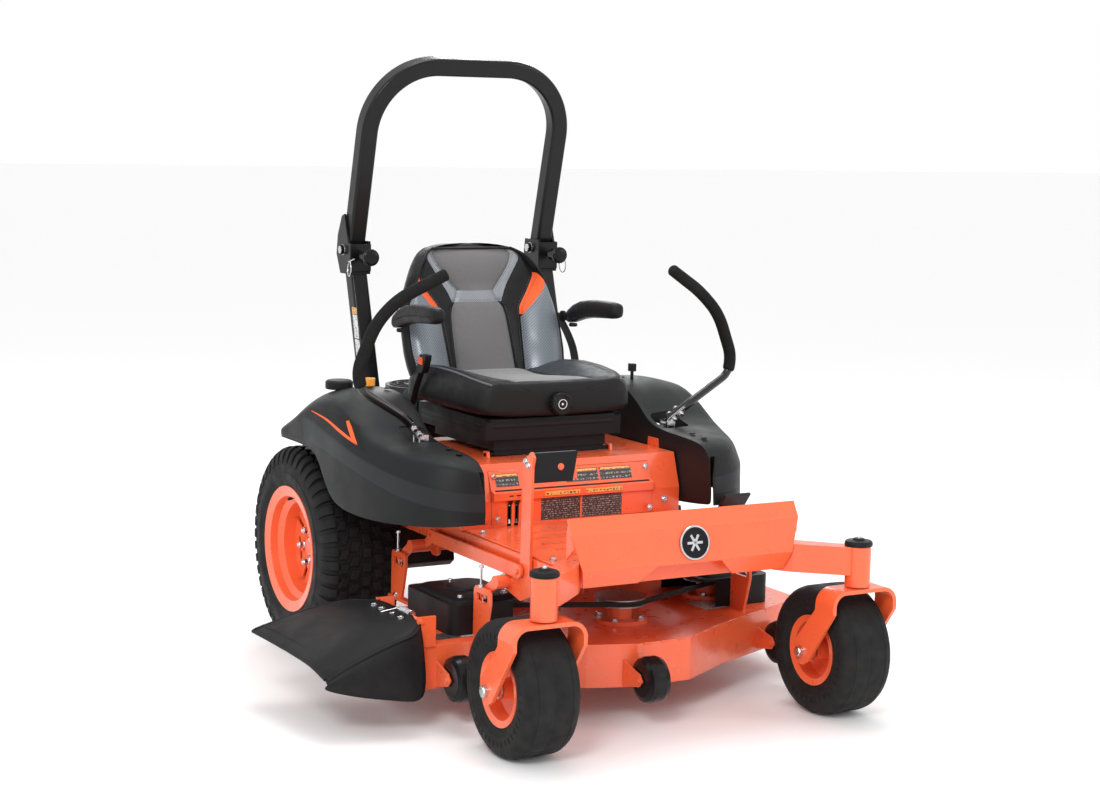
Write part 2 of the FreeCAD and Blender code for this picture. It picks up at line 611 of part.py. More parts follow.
def lever_rod():
    """Bent steering lever, parked outwards."""
    x, y = LEVER_X - 3, LEVER_Y
    path = [(x + 6, y, LEVER_SWING_Z + 12), (440, -478, 713), (565, -478, 790), (573, -476, 838),
            (528, -479, 959), (465, -480, 1022), (347, -518, 1087)]
    bent = bent_tube(path, 26, LEVER_ROD_R)
    eye = rod((x, y - 13.5, LEVER_SWING_Z), (x, y + 13.5, LEVER_SWING_Z), 14)
    neck = slab((x - 8, x + 14), (y - 11, y + 11), (LEVER_SWING_Z + 2, LEVER_SWING_Z + 24))
    bore = rod((x, y - 30, LEVER_SWING_Z), (x, y + 30, LEVER_SWING_Z), 6 + RUNNING_FIT)
    return fused([bent, eye, neck]).cut(bore)


def lever_grip(lever):
    """Foam grip over the upper part of the lever."""
    path = [(561, -478, 793), (573, -476, 838), (528, -479, 959), (465, -480, 1022), (344, -519, 1088.7)]
    return bent_tube(path, 26, GRIP_R).cut(lever)


# ---- seat ---------------------------------------------------------------------------
def seat_pan():
    """Tilting seat base: tray, rubber-sleeved riser and hinge pins."""
    tray = slab((-172, 172), (-468, -110), (608, 640))
    riser = prism_x([(-488, 640), (-490, 690), (-478, 698), (-80, 698), (-76, 640)], (-208, 208))
    pins = rod((-197, SEAT_HINGE_Y, SEAT_HINGE_Z), (197, SEAT_HINGE_Y, SEAT_HINGE_Z), 5)
    webs = slab((-168, 168), (-465, -455), (594.5, 612))
    return fused([tray, riser, pins, webs])


def seat_cushion():
    """Bucket cushion: raised side wings, closed and plain."""
    outline = [(-500, CUSHION_BOTTOM), (-502, 775), (-440, 790), (-62, 780), (-62, CUSHION_BOTTOM)]
    return prism_x(outline, (-SEAT_HALF, SEAT_HALF), 14)


def seat_backrest():
    outline = [(-134, 794), (-57, 794), (-57, 706), (-16, 706), (6, 800), (64, 1085), (50, 1130), (-14, 1130)]
    back = prism_x(outline, (-SEAT_HALF, SEAT_HALF), 12)
    crown = [(-SEAT_HALF, 690), (-SEAT_HALF, 1010), (-150, 1131), (150, 1131), (SEAT_HALF, 1010),
             (SEAT_HALF, 690)]
    return back.common(prism_y(crown, (-200, 200), 60))


def armrest():
    """Folding left armrest with its pivot boss and height knob."""
    arm = prism_x([(-352, 965), (-346, 985), (-110, 982), (-58, 942), (-58, 905), (-90, 908), (-130, 948),
                   (-340, 950)], (256, 302), 5)
    boss = rod((246, ARMREST_Y, ARMREST_Z), (262, ARMREST_Y, ARMREST_Z), 16)
    return fused([arm, boss])


def seat_knob():
    """Ride-firmness knob on the front of the seat."""
    return fused([rod((0, -530, 735), (0, -506, 735), 28), rod((0, -508, 735), (0, -503, 735), 12)])


# ---- deck ---------------------------------------------------------------------------
def deck_outline():
    return [(DECK_LEFT_X, DECK_REAR_Y), (DECK_LEFT_X, -770), (521, -822), (249, -946), (100, -1036),
            (-60, -1040), (-181, -998), (-430, -846), (DECK_RIGHT_X, -842), (DECK_RIGHT_X, DECK_REAR_Y)]


def scalp_bracket(x, y, wall_y):
    """Two plates that carry an anti-scalp wheel ahead of the deck wall, with its bolt."""
    outline = [(wall_y + 6, 94), (wall_y + 6, 160), (y, SCALP_Z + 16), (y - 14, SCALP_Z), (y, SCALP_Z - 16)]
    inner = SCALP_W / 2 + 3
    plates = [prism_x(outline, (x + side, x + side + 5)) for side in (inner, -inner - 5)]
    bolt = rod((x - inner - 10, y, SCALP_Z), (x + inner + 10, y, SCALP_Z), SCALP_BOLT_R)
    return plates + [bolt]


def hanger(y):
    """Plate that stands on the deck, with the cross slot its lift crank's pin slides in."""
    plate = prism_x([(y - 40, DECK_TOP - 1), (y - 66, 292), (y - 66, 322), (y - 56, 330), (y + 12, 330),
                     (y + 20, 320), (y + 22, DECK_TOP - 1)], (384, 392))
    pin_z = LIFT_Z + LIFT_CRANK[1]
    return plate.cut(slab((380, 396), (y - 54, y + 7), (pin_z - 12, pin_z + 7)))


def deck_shell():
    """Stamped deck with skirt, spindle housings, discharge opening, hangers and brackets."""
    top_face = outline_face([(x, y, DECK_BOTTOM) for x, y in deck_outline()])
    outer = top_face.extrude(V(0, 0, DECK_TOP - DECK_BOTTOM))
    inner = top_face.makeOffset2D(-DECK_WALL)
    inner.translate(V(0, 0, -10))
    shell = outer.cut(inner.extrude(V(0, 0, DECK_TOP - DECK_BOTTOM + 10 - DECK_WALL)))
    parts = [shell.cut(slab((DECK_RIGHT_X - 5, DECK_RIGHT_X + 5), (-820, -600), (80, 188)))]
    for x, y in SPINDLES.values():
        parts.append(rod((x, y, DECK_TOP - 30), (x, y, DECK_TOP + 38), 32))
        parts.append(rod((x, y, DECK_TOP - 1), (x, y, DECK_TOP + 9), 72))
    for side in (-1, 1):
        parts.append(rod((side * IDLER_X, IDLER_Y, DECK_TOP - 1), (side * IDLER_X, IDLER_Y, 266), 8))
        parts.append(slab((min(side * 380, side * 400), max(side * 380, side * 400)), (-470, -298),
                          (DECK_TOP - 1, DECK_TOP + 7)))
    for y in (LIFT_FRONT_Y + LIFT_CRANK[0], LIFT_REAR_Y + LIFT_CRANK[0]):
        parts += [hanger(y), mirrored(hanger(y))]
    parts.append(slab((CHUTE_HINGE_X + 14, DECK_RIGHT_X + 40), (-830, -610), (DECK_TOP - 1, DECK_TOP + 5)))
    parts += [slab((CHUTE_HINGE_X - 9, DECK_RIGHT_X + 30), (y - 4, y + 4), (DECK_TOP, CHUTE_HINGE_Z + 10))
              for y in (-606, -846)]
    parts.append(rod((CHUTE_HINGE_X, -856, CHUTE_HINGE_Z), (CHUTE_HINGE_X, -596, CHUTE_HINGE_Z), 6))
    parts.append(slab((CHUTE_HINGE_X + 14, DECK_RIGHT_X + 30), (-850, -828), (DECK_TOP - 1, DECK_TOP + 5)))
    for name, wall_y in (("centre", -1040), ("right", -846), ("left", -848)):
        x, y = SCALP_WHEELS[name]
        parts += scalp_bracket(x, y, wall_y)
    shell = fused(parts)
    for x, y in SPINDLES.values():
        shell = shell.cut(rod((x, y, 100), (x, y, 300), SPINDLE_R + RUNNING_FIT))
    return shell


def sheave(x, y, groove_r, bore_r=0):
    """Flat-bottomed pulley at the height of the deck belt."""
    low, high = BELT_Z
    rim_r = groove_r + 10
    section = [(bore_r, low - 4), (rim_r, low - 4), (rim_r, low - 1), (groove_r, low - 1),
               (groove_r, high + 1), (rim_r, high + 1), (rim_r, high + 4), (bore_r, high + 4)]
    return turned_about_z(section, (x, y))


def spindle(name, turn):
    """Spindle shaft with its pulley, nut and blade; turn sets the blade's rest angle."""
    x, y = SPINDLES[name]
    shaft = rod((x, y, BLADE_Z), (x, y, BELT_Z[1] + 4), SPINDLE_R)
    nut = rod((x, y, BLADE_Z - 12), (x, y, BLADE_Z), 14)
    half = BLADE_R
    blade = prism_z([(x - half, y - 28), (x - half + 70, y - 28), (x - 60, y - 28), (x + half, y - 28),
                     (x + half, y + 12), (x + 130, y + 28), (x - half, y + 28)], (BLADE_Z, BLADE_Z + 5))
    disc = rod((x, y, BLADE_Z - 1), (x, y, BLADE_Z + 8), BLADE_R - 0.5)
    blade = blade.common(disc)
    blade.rotate(V(x, y, 0), Z_AXIS, turn)
    boss = rod((x, y, BLADE_Z + 4), (x, y, BLADE_Z + 20), 26)
    return fused([shaft, nut, blade, boss, sheave(x, y, SPINDLE_SHEAVE_R)])


def idler(side):
    """Loose belt pulley on a stud of the deck."""
    return sheave(side * IDLER_X, IDLER_Y, IDLER_SHEAVE_R, 8 + RUNNING_FIT)


def engine_pulley():
    """Crankshaft end with the electric blade clutch and the belt pulley."""
    shaft = rod((0, CRANK_Y, 240), (0, CRANK_Y, 452), CRANK_R)
    clutch = turned_about_z([(0, 275), (58, 275), (62, 280), (62, 318), (54, 326), (0, 326)], (0, CRANK_Y))
    return fused([shaft, clutch, sheave(0, CRANK_Y, ENGINE_SHEAVE_R)])


def deck_belt():
    """Belt from the engine pulley between the idlers and round the three spindles."""
    right, centre, left = SPINDLES["right"], SPINDLES["centre"], SPINDLES["left"]
    pulleys = [(0, CRANK_Y, ENGINE_SHEAVE_R, 1), (-IDLER_X, IDLER_Y, IDLER_SHEAVE_R, -1),
               (right[0], right[1], SPINDLE_SHEAVE_R, 1), (centre[0], centre[1], SPINDLE_SHEAVE_R, 1),
               (left[0], left[1], SPINDLE_SHEAVE_R, 1), (IDLER_X, IDLER_Y, IDLER_SHEAVE_R, -1)]
    near, far = BELT_GAP, BELT_GAP + BELT_T
    ring = Part.Face(belt_loop(pulleys, far, near)).cut(Part.Face(belt_loop(pulleys, near, far)))
    ring.translate(V(0, 0, BELT_Z[0]))
    return ring.extrude(V(0, 0, BELT_Z[1] - BELT_Z[0]))


def belt_cover(x, y, side):
    """Moulded cover over a side spindle, open below and towards the middle."""
    near, far = x - side * 110, x + side * 105
    low, high = min(near, far), max(near, far)
    corner = 26
    outer = prism_z([(low, y - 146), (high, y - 146), (high, y + 130), (low, y + 130)],
                    (DECK_TOP, 278), corner)
    inner = prism_z([(low + 3, y - 143), (high - 3, y - 143), (high - 3, y + 127), (low + 3, y + 127)],
                    (DECK_TOP - 5, 275), corner - 3)
    mouth_x = (min(near, near + side * 40), max(near, near + side * 40))
    mouth = slab((mouth_x[0] - 1, mouth_x[1] + 1), (y - 160, y + 140), (DECK_TOP - 5, 270))
    return outer.cut(inner).cut(mouth)


def belt_covers():
    right, left = SPINDLES["right"], SPINDLES["left"]
    return Part.makeCompound([belt_cover(right[0], right[1], -1), belt_cover(left[0], left[1], 1)])


def scalp_wheel(name):
    x, y = SCALP_WHEELS[name]
    half = SCALP_W / 2
    bore = SCALP_BOLT_R + RUNNING_FIT
    section = [(-half, bore), (-half, SCALP_R - 16), (-half + 5, SCALP_R - 4), (-half + 16, SCALP_R),
               (half - 16, SCALP_R), (half - 5, SCALP_R - 4), (half, SCALP_R - 16), (half, bore)]
    return turned_about_x(section, (x, y, SCALP_Z))


def chute():
    """Moulded discharge deflector: a sloped top, a front curtain and a hinge sleeve."""
    hinge_back = V(CHUTE_HINGE_X - 14, -618, CHUTE_HINGE_Z)
    hinge_front = V(CHUTE_HINGE_X - 14, -834, CHUTE_HINGE_Z)
    nose = V(CHUTE_HINGE_X - 20, -905, 238)
    outer_front = V(CHUTE_TIP_X + 36, -850, 150)
    outer_back = V(CHUTE_TIP_X, -462, 186)
    inner_back = V(CHUTE_HINGE_X - 60, -470, 222)
    thick = V(0, 0, -7)
    triangles = [(hinge_back, hinge_front, outer_back), (hinge_front, outer_front, outer_back),
                 (hinge_front, nose, outer_front), (hinge_back, outer_back, inner_back)]
    top = [outline_face([tuple(p) for p in corners]).extrude(thick) for corners in triangles]
    foot_in = V(CHUTE_HINGE_X - 20, -935, 76)
    foot_out = V(CHUTE_TIP_X + 36, -862, 118)
    curtain_faces = [(nose, foot_in, outer_front), (outer_front, foot_in, foot_out)]
    curtain = [outline_face([tuple(p) for p in corners]).extrude(V(0, 7, -3)) for corners in curtain_faces]
    sleeve = rod((CHUTE_HINGE_X, -834, CHUTE_HINGE_Z), (CHUTE_HINGE_X, -618, CHUTE_HINGE_Z), 13)
    web = slab((CHUTE_HINGE_X - 18, CHUTE_HINGE_X), (-834, -618), (CHUTE_HINGE_Z - 8, CHUTE_HINGE_Z))
    body = fused(top + curtain + [sleeve, web])
    return body.cut(rod((CHUTE_HINGE_X, -900, CHUTE_HINGE_Z), (CHUTE_HINGE_X, -500, CHUTE_HINGE_Z),
                        6 + RUNNING_FIT))


# ---- deck lift ----------------------------------------------------------------------
def strap(start, end, x, radius):
    """Flat link with round ends between two (y, z) points."""
    run = V(0, end[0] - start[0], end[1] - start[1])
    across = V(0, -run.z, run.y).normalize() * radius
    a, b = V(x[0], *start), V(x[0], *end)
    bar = outline_face([tuple(a + across), tuple(b + across), tuple(b - across), tuple(a - across)])
    ends = [rod((x[0], y, z), (x[1], y, z), radius) for y, z in (start, end)]
    return fused([bar.extrude(V(x[1] - x[0], 0, 0))] + ends)


def lift_cranks(y):
    """Two cranks on a lift shaft, each with a pin that ends just short of its hanger."""
    pin = (y + LIFT_CRANK[0], LIFT_Z + LIFT_CRANK[1])
    crank = fused([strap((y, LIFT_Z), pin, (372, 380), 13), rod((372, *pin), (383, *pin), LIFT_PIN_R)])
    return [crank, mirrored(crank)]


def link_pin(y):
    return y + LIFT_LINK_ARM[0], LIFT_Z + LIFT_LINK_ARM[1]


def lift_shaft(y):
    pin = link_pin(y)
    shaft = rod((-381, y, LIFT_Z), (381, y, LIFT_Z), LIFT_TUBE_R)
    stud = rod((-357, *pin), (-338, *pin), LIFT_PIN_R)
    return [shaft, stud] + lift_cranks(y)


def front_lift_shaft():
    """Front cross shaft with the lift pedal's arm and pad."""
    y = LIFT_FRONT_Y
    arm = prism_x([(y + 20, LIFT_Z - 22), (y - 60, LIFT_Z - 38), (y - 104, LIFT_Z - 20), (y - 106, 650),
                   (y - 114, 678), (y - 100, 690), (y - 60, 655), (y - 56, 400), (y + 20, 374)], (-341, -333))
    pad = prism_x([(y - 104, 618), (y - 96, 682), (y - 66, 676), (y - 72, 618)], (-334, -212))
    return fused([arm, pad] + lift_shaft(y))


def rear_lift_shaft():
    """Rear cross shaft, driven by the link."""
    y = LIFT_REAR_Y
    return fused([strap((y, LIFT_Z), link_pin(y), (-341, -335), 12)] + lift_shaft(y))


def lift_link():
    """Flat bar that makes the two lift shafts turn together."""
    bar = strap(link_pin(LIFT_FRONT_Y), link_pin(LIFT_REAR_Y), (-352, -344), 17)
    for y in (LIFT_FRONT_Y, LIFT_REAR_Y):
        pin = link_pin(y)
        bar = bar.cut(rod((-360, *pin), (-330, *pin), LIFT_PIN_R + RUNNING_FIT))
    return bar


# ---- controls -----------------------------------------------------------------------
def brake_pedal():
    barrel = pipe((346, *BRAKE_PIVOT), (364, *BRAKE_PIVOT), 15, 8 + RUNNING_FIT)
    arm = strap((-636, 404), (-784, 462), (350, 358), 10)
    arm = arm.cut(rod((340, *BRAKE_PIVOT), (370, *BRAKE_PIVOT), 12))
    pad = prism_x([(-806, 506), (-800, 510), (-764, 466), (-770, 462)], (350, 430))
    return fused([barrel, arm, pad])


def pto_knob():
    """Pull-up blade switch: stem and six-sided knob."""
    x, y = PTO_AT
    corners = [(x + 19 * math.cos(math.radians(60 * i)), y + 19 * math.sin(math.radians(60 * i)))
               for i in range(6)]
    stem = rod((x, y, CONSOLE_TOP - 22), (x, y, CONSOLE_TOP + 16), 5)
    return fused([stem, prism_z(corners, (CONSOLE_TOP + 14, CONSOLE_TOP + 34))])


def throttle_lever():
    x, y, z = THROTTLE_AT
    arm = slab((x - 2, x + 2), (y - 6, y + 6), (z, CONSOLE_TOP + 40))
    grip = slab((x - 8, x + 8), (y - 10, y + 10), (CONSOLE_TOP + 30, CONSOLE_TOP + 52))
    return fused([arm, grip, rod((x - 14, y, z), (x + 14, y, z), 6)])


def fuel_cap():
    x, y = FUEL_CAP_AT
    return turned_about_z([(0, CONSOLE_TOP + 0.5), (36, CONSOLE_TOP + 0.5), (38, CONSOLE_TOP + 4),
                           (38, CONSOLE_TOP + 20), (32, CONSOLE_TOP + 25), (0, CONSOLE_TOP + 25)], (x, y))


# ---- engine and drive ---------------------------------------------------------------
def engine():
    """Vertical-shaft twin: sump, two finned cylinders, shroud and air cleaner."""
    deck_z = RAIL_Z[1] + 6
    sump = slab((-125, 125), (190, 425), (deck_z, 540))
    sump = sump.cut(rod((0, CRANK_Y, 400), (0, CRANK_Y, 455), CRANK_R + RUNNING_FIT))
    parts = [sump]
    for side in (-1, 1):
        inner, outer = side * 120, side * 225
        parts.append(slab((min(inner, outer), max(inner, outer)), (250, 400), (462, 548)))
    parts.append(prism_z([(-205, 160), (205, 160), (205, 455), (-205, 455)], (540, 652), 50))
    parts.append(rod((0, CRANK_Y + 20, 650), (0, CRANK_Y + 20, 690), 118))
    parts.append(rod((-120, 175, 640), (120, 175, 640), 58))
    return fused(parts)


def muffler():
    """Round silencer across the back of the engine, with its two stubs and outlet."""
    y, z = 510, 480
    can = rod((-170, y, z), (170, y, z), 48)
    stubs = [rod((side * 150, 402, z), (side * 150, y, z), 16) for side in (-1, 1)]
    outlet = rod((120, y, z - 40), (120, y, z - 54), 17)
    return fused([can, outlet] + stubs)


def transaxle():
    """Left drive unit, with the bore its wheel axle turns in."""
    case = prism_x([(-80, 232), (-60, 345), (70, 345), (96, 300), (96, 232), (60, 212), (-50, 212)],
                   (90, 300), 10)
    tank = rod((170, 10, 340), (170, 10, 372), 34)
    bore = rod((80, 0, REAR_TYRE_R), (330, 0, REAR_TYRE_R), AXLE_R + RUNNING_FIT)
    return fused([case, tank]).cut(bore)


def transaxles():
    return Part.makeCompound([transaxle(), mirrored(transaxle())])


# ---- assembly -----------------------------------------------------------------------
def both_sides(name, shape):
    """The same piece on each side: the drawn one is the operator's left."""
    return {name + "_left": shape, name + "_right": mirrored(shape)}


def paired_nodes():
    lever = lever_rod()
    pairs = {"rear_tyre": rear_tyre(), "rear_rim": rear_rim(), "caster_tyre": caster_tyre(),
             "caster_rim": caster_rim(), "caster_fork": caster_fork(),
             "caster_hardware": caster_hardware(), "rops_post": rops_post(), "rops_knob": rops_knob(),
             "lever_bracket": lever_bracket(), "steering_lever": lever, "lever_grip": lever_grip(lever),
             "armrest": armrest()}
    nodes = {}
    for name, shape in pairs.items():
        nodes.update(both_sides(name, shape))
    return nodes


def single_nodes():
    return {
        "main_frame": main_frame(), "rear_bumper": rear_bumper(), "floor_pan": floor_pan(),
        "toe_guard": toe_guard(), "seat_box": seat_box(), "service_hatch": service_hatch(),
        "fender_right": fender_right(), "fender_left": fender_left(), "rops_hoop": rops_hoop(),
        "seat_pan": seat_pan(), "seat_cushion": seat_cushion(), "seat_backrest": seat_backrest(),
        "seat_knob": seat_knob(), "deck_shell": deck_shell(), "belt_covers": belt_covers(),
        "spindle_right": spindle("right", 20), "spindle_centre": spindle("centre", 65),
        "spindle_left": spindle("left", 110), "idler_right": idler(-1), "idler_left": idler(1),
        "deck_belt": deck_belt(), "engine_pulley": engine_pulley(),
        "scalp_wheel_centre": scalp_wheel("centre"), "scalp_wheel_right": scalp_wheel("right"),
        "scalp_wheel_left": scalp_wheel("left"), "discharge_chute": chute(),
        "front_lift_shaft": front_lift_shaft(), "rear_lift_shaft": rear_lift_shaft(),
        "lift_link": lift_link(), "brake_pedal": brake_pedal(), "pto_knob": pto_knob(),
        "throttle_lever": throttle_lever(), "fuel_cap": fuel_cap(), "engine": engine(),
        "muffler": muffler(), "transaxles": transaxles(),
    }


def main():
    os.makedirs("parts", exist_ok=True)
    nodes = paired_nodes()
    nodes.update(single_nodes())
    for name, shape in nodes.items():
        placed = shape.copy()
        placed.translate(-ORIGIN)
        placed.exportStep("parts/" + name + ".step")
        print(name, "solids", len(placed.Solids), "valid", placed.isValid(),
              "litres", round(placed.Volume / 1e6, 2))


main()
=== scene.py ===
import json
import math

import bmesh
import bpy
from mathutils import Matrix, Vector
from mathutils.bvhtree import BVHTree

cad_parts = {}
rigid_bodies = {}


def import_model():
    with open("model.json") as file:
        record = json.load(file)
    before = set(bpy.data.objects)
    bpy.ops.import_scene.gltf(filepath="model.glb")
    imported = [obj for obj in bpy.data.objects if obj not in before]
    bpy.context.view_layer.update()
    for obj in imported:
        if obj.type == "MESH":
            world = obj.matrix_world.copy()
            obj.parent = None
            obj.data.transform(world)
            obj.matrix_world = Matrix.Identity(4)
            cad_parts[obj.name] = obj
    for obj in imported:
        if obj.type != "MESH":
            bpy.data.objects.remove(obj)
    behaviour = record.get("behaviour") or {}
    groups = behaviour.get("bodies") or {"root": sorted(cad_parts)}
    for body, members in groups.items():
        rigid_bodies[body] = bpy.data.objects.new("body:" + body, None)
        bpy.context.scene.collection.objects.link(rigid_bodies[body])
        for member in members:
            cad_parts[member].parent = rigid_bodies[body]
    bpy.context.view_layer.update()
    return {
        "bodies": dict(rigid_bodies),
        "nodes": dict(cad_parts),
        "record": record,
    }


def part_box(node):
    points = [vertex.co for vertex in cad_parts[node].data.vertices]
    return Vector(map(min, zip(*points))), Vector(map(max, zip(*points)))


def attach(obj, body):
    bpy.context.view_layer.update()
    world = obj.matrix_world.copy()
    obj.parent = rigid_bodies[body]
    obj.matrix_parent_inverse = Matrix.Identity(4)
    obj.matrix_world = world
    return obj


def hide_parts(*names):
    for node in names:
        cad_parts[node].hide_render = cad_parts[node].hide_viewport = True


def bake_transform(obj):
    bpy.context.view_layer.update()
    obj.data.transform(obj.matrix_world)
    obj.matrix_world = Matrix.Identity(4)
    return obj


# Looks of a zero turn mower. Metres. Points are written in the mower's own frame: X = 0 is
# its centreline and +X its left, it faces -Y, Y = 0 is the rear axle and Z = 0 the ground.
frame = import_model()
NODES = frame["nodes"]


def middle(node):
    low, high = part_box(node)
    return (low + high) / 2


ORIGIN = Vector((middle("main_frame").x, middle("rear_tyre_left").y, 0))


# ---- materials ----------------------------------------------------------------------
def scaled(colour, k):
    return tuple(min(1.0, c * k) for c in colour) + (1.0,)


class Surface:
    """One node-based material, built up from a few layers."""

    def __init__(self, name, rough, metallic=0.0):
        self.material = bpy.data.materials.new(name)
        self.material.use_nodes = True
        self.tree = self.material.node_tree
        self.shader = self.tree.nodes["Principled BSDF"]
        self.shader.inputs["Metallic"].default_value = metallic
        self.shader.inputs["Roughness"].default_value = rough
        self.coords = self.node("ShaderNodeTexCoord").outputs["Object"]
        self.normal = None

    def node(self, kind, **settings):
        made = self.tree.nodes.new(kind)
        for key, value in settings.items():
            setattr(made, key, value)
        return made

    def link(self, source, target):
        self.tree.links.new(source, target)

    def noise(self, scale, detail=3.0, stretch=None):
        texture = self.node("ShaderNodeTexNoise")
        texture.inputs["Scale"].default_value = scale
        texture.inputs["Detail"].default_value = detail
        place = self.coords
        if stretch:
            mapping = self.node("ShaderNodeMapping")
            mapping.inputs["Scale"].default_value = stretch
            self.link(place, mapping.inputs["Vector"])
            place = mapping.outputs["Vector"]
        self.link(place, texture.inputs["Vector"])
        return texture.outputs["Fac"]

    def span(self, value, low, high, start=0.3, end=0.7):
        made = self.node("ShaderNodeMapRange")
        for key, number in zip(("From Min", "From Max", "To Min", "To Max"), (start, end, low, high)):
            made.inputs[key].default_value = number
        self.link(value, made.inputs["Value"])
        return made.outputs["Result"]

    def product(self, a, b):
        made = self.node("ShaderNodeMath", operation="MULTIPLY", use_clamp=True)
        self.link(a, made.inputs[0])
        self.link(b, made.inputs[1])
        return made.outputs[0]

    def blend(self, factor, a, b):
        made = self.node("ShaderNodeMix", data_type="RGBA")
        for socket, value in ((made.inputs[6], a), (made.inputs[7], b)):
            if isinstance(value, tuple):
                socket.default_value = value
            else:
                self.link(value, socket)
        self.link(factor, made.inputs[0])
        return made.outputs[2]

    def colour(self, base, mottle=0.06, scale=9.0):
        """Base colour with a soft, uneven tone."""
        self.paint = self.blend(self.noise(scale), scaled(base, 1 - mottle), scaled(base, 1 + mottle))
        return self

    def roughness(self, low, high, scale=22.0):
        self.link(self.span(self.noise(scale, 4), low, high), self.shader.inputs["Roughness"])
        return self

    def rounded(self, radius):
        """Softens the look of sharp edges, and gives a mask of where they are."""
        bevel = self.node("ShaderNodeBevel", samples=4)
        bevel.inputs["Radius"].default_value = radius
        self.normal = bevel.outputs["Normal"]
        dot = self.node("ShaderNodeVectorMath", operation="DOT_PRODUCT")
        self.link(bevel.outputs["Normal"], dot.inputs[0])
        self.link(self.node("ShaderNodeNewGeometry").outputs["Normal"], dot.inputs[1])
        self.edges = self.span(dot.outputs["Value"], 1.0, 0.0, 0.82, 0.99)
        return self

    def rubbed_and_highlit_edges(self, colour, amount=0.5):
        """Lighter edges, broken up by noise: partly rubbed wear, partly a painted highlight along every edge.
        Needs rounded() first.
        """
        mask = self.product(self.edges, self.span(self.noise(60, 5), 0.0, amount))
        self.paint = self.blend(mask, self.paint, scaled(colour, 1))
        return self

    def dusty(self, colour, amount, reach):
        """A little dust that thickens towards the ground."""
        split = self.node("ShaderNodeSeparateXYZ")
        self.link(self.coords, split.inputs[0])
        low = self.span(split.outputs["Z"], amount, 0.0, 0.0, reach)
        mask = self.product(low, self.span(self.noise(35, 5), 0.1, 1.0))
        self.paint = self.blend(mask, self.paint, scaled(colour, 1))
        return self

    def bump(self, height, distance, strength=1.0):
        made = self.node("ShaderNodeBump")
        made.inputs["Distance"].default_value = distance
        made.inputs["Strength"].default_value = strength
        self.link(height, made.inputs["Height"])
        if self.normal is not None:
            self.link(self.normal, made.inputs["Normal"])
        self.normal = made.outputs["Normal"]
        return self

    def cells(self, scale, feature="F1"):
        texture = self.node("ShaderNodeTexVoronoi", feature=feature)
        texture.inputs["Scale"].default_value = scale
        self.link(self.coords, texture.inputs["Vector"])
        return texture.outputs["Distance"]

    def set(self, **values):
        for key, value in values.items():
            self.shader.inputs[key.replace("_", " ")].default_value = value
        return self

    def done(self):
        self.link(self.paint, self.shader.inputs["Base Color"])
        if self.normal is not None:
            self.link(self.normal, self.shader.inputs["Normal"])
        return self.material


ORANGE = (0.87, 0.122, 0.036)


def orange_paint():
    """Gloss powder coat with faint orange peel and lighter edges, partly rubbed wear and partly a painted
    highlight.
    """
    made = Surface("orange_paint", 0.3).colour(ORANGE, 0.05, 5).roughness(0.24, 0.4).rounded(0.0022)
    # Lighter orange edges: partly rubbed wear, partly a painted highlight.
    made.rubbed_and_highlit_edges((1.0, 0.42, 0.2), 0.75).dusty((0.45, 0.3, 0.2), 0.16, 0.28)
    made.bump(made.noise(420, 2), 0.0004, 0.22)
    return made.set(Coat_Weight=0.35, Coat_Roughness=0.12, Specular_IOR_Level=0.5).done()


def black_paint(name, rough, coat):
    made = Surface(name, rough).colour((0.0055, 0.0055, 0.006), 0.2, 6).roughness(rough - 0.07, rough + 0.1)
    # Lighter grey edges: partly rubbed wear, partly a painted highlight.
    made.rounded(0.002).rubbed_and_highlit_edges((0.05, 0.05, 0.05), 0.5)
    made.bump(made.noise(380, 2), 0.0004, 0.25)
    return made.set(Coat_Weight=coat, Coat_Roughness=0.1, Specular_IOR_Level=0.2).done()


def moulded(name, colour, rough, grain=700.0, depth=0.0006, radius=0.0015):
    """Textured plastic or moulded rubber."""
    made = Surface(name, rough).colour(colour, 0.12, 7).roughness(rough - 0.06, rough + 0.1, 14)
    # Lighter edges: partly rubbed wear, partly a painted highlight.
    made.rounded(radius).rubbed_and_highlit_edges(tuple(c * 2.5 + 0.008 for c in colour), 0.4)
    made.dusty((0.055, 0.05, 0.045), 0.2, 0.3)
    made.bump(made.cells(grain), depth, 0.5)
    return made.set(Specular_IOR_Level=0.19).done()


def tyre_rubber():
    made = Surface("tyre_rubber", 0.75).colour((0.0085, 0.0085, 0.009), 0.25, 12).roughness(0.55, 0.8, 30)
    made.dusty((0.045, 0.041, 0.037), 0.3, 0.5)
    made.bump(made.noise(260, 6), 0.0012, 0.5)
    made.bump(made.noise(18, 3), 0.003, 0.25)
    return made.set(Specular_IOR_Level=0.2).done()


def metal(name, colour, rough, brushed=None, dust=0.0):
    made = Surface(name, rough, 1.0).colour(colour, 0.12, 30).roughness(rough * 0.7, rough * 1.5, 90)
    if dust:
        made.dusty((0.2, 0.16, 0.12), dust, 0.5)
    made.bump(made.noise(160, 4, brushed), 0.0005, 0.35)
    return made.done()


def vinyl(name, colour, rough):
    """Grained upholstery: leather-like cells with fine wrinkles and a soft tone."""
    made = Surface(name, rough).colour(colour, 0.1, 11).roughness(rough - 0.05, rough + 0.12, 40)
    made.bump(made.noise(30, 4), 0.004, 0.25)
    made.bump(made.cells(820, "DISTANCE_TO_EDGE"), 0.0007, 0.6)
    return made.set(Specular_IOR_Level=0.2).done()


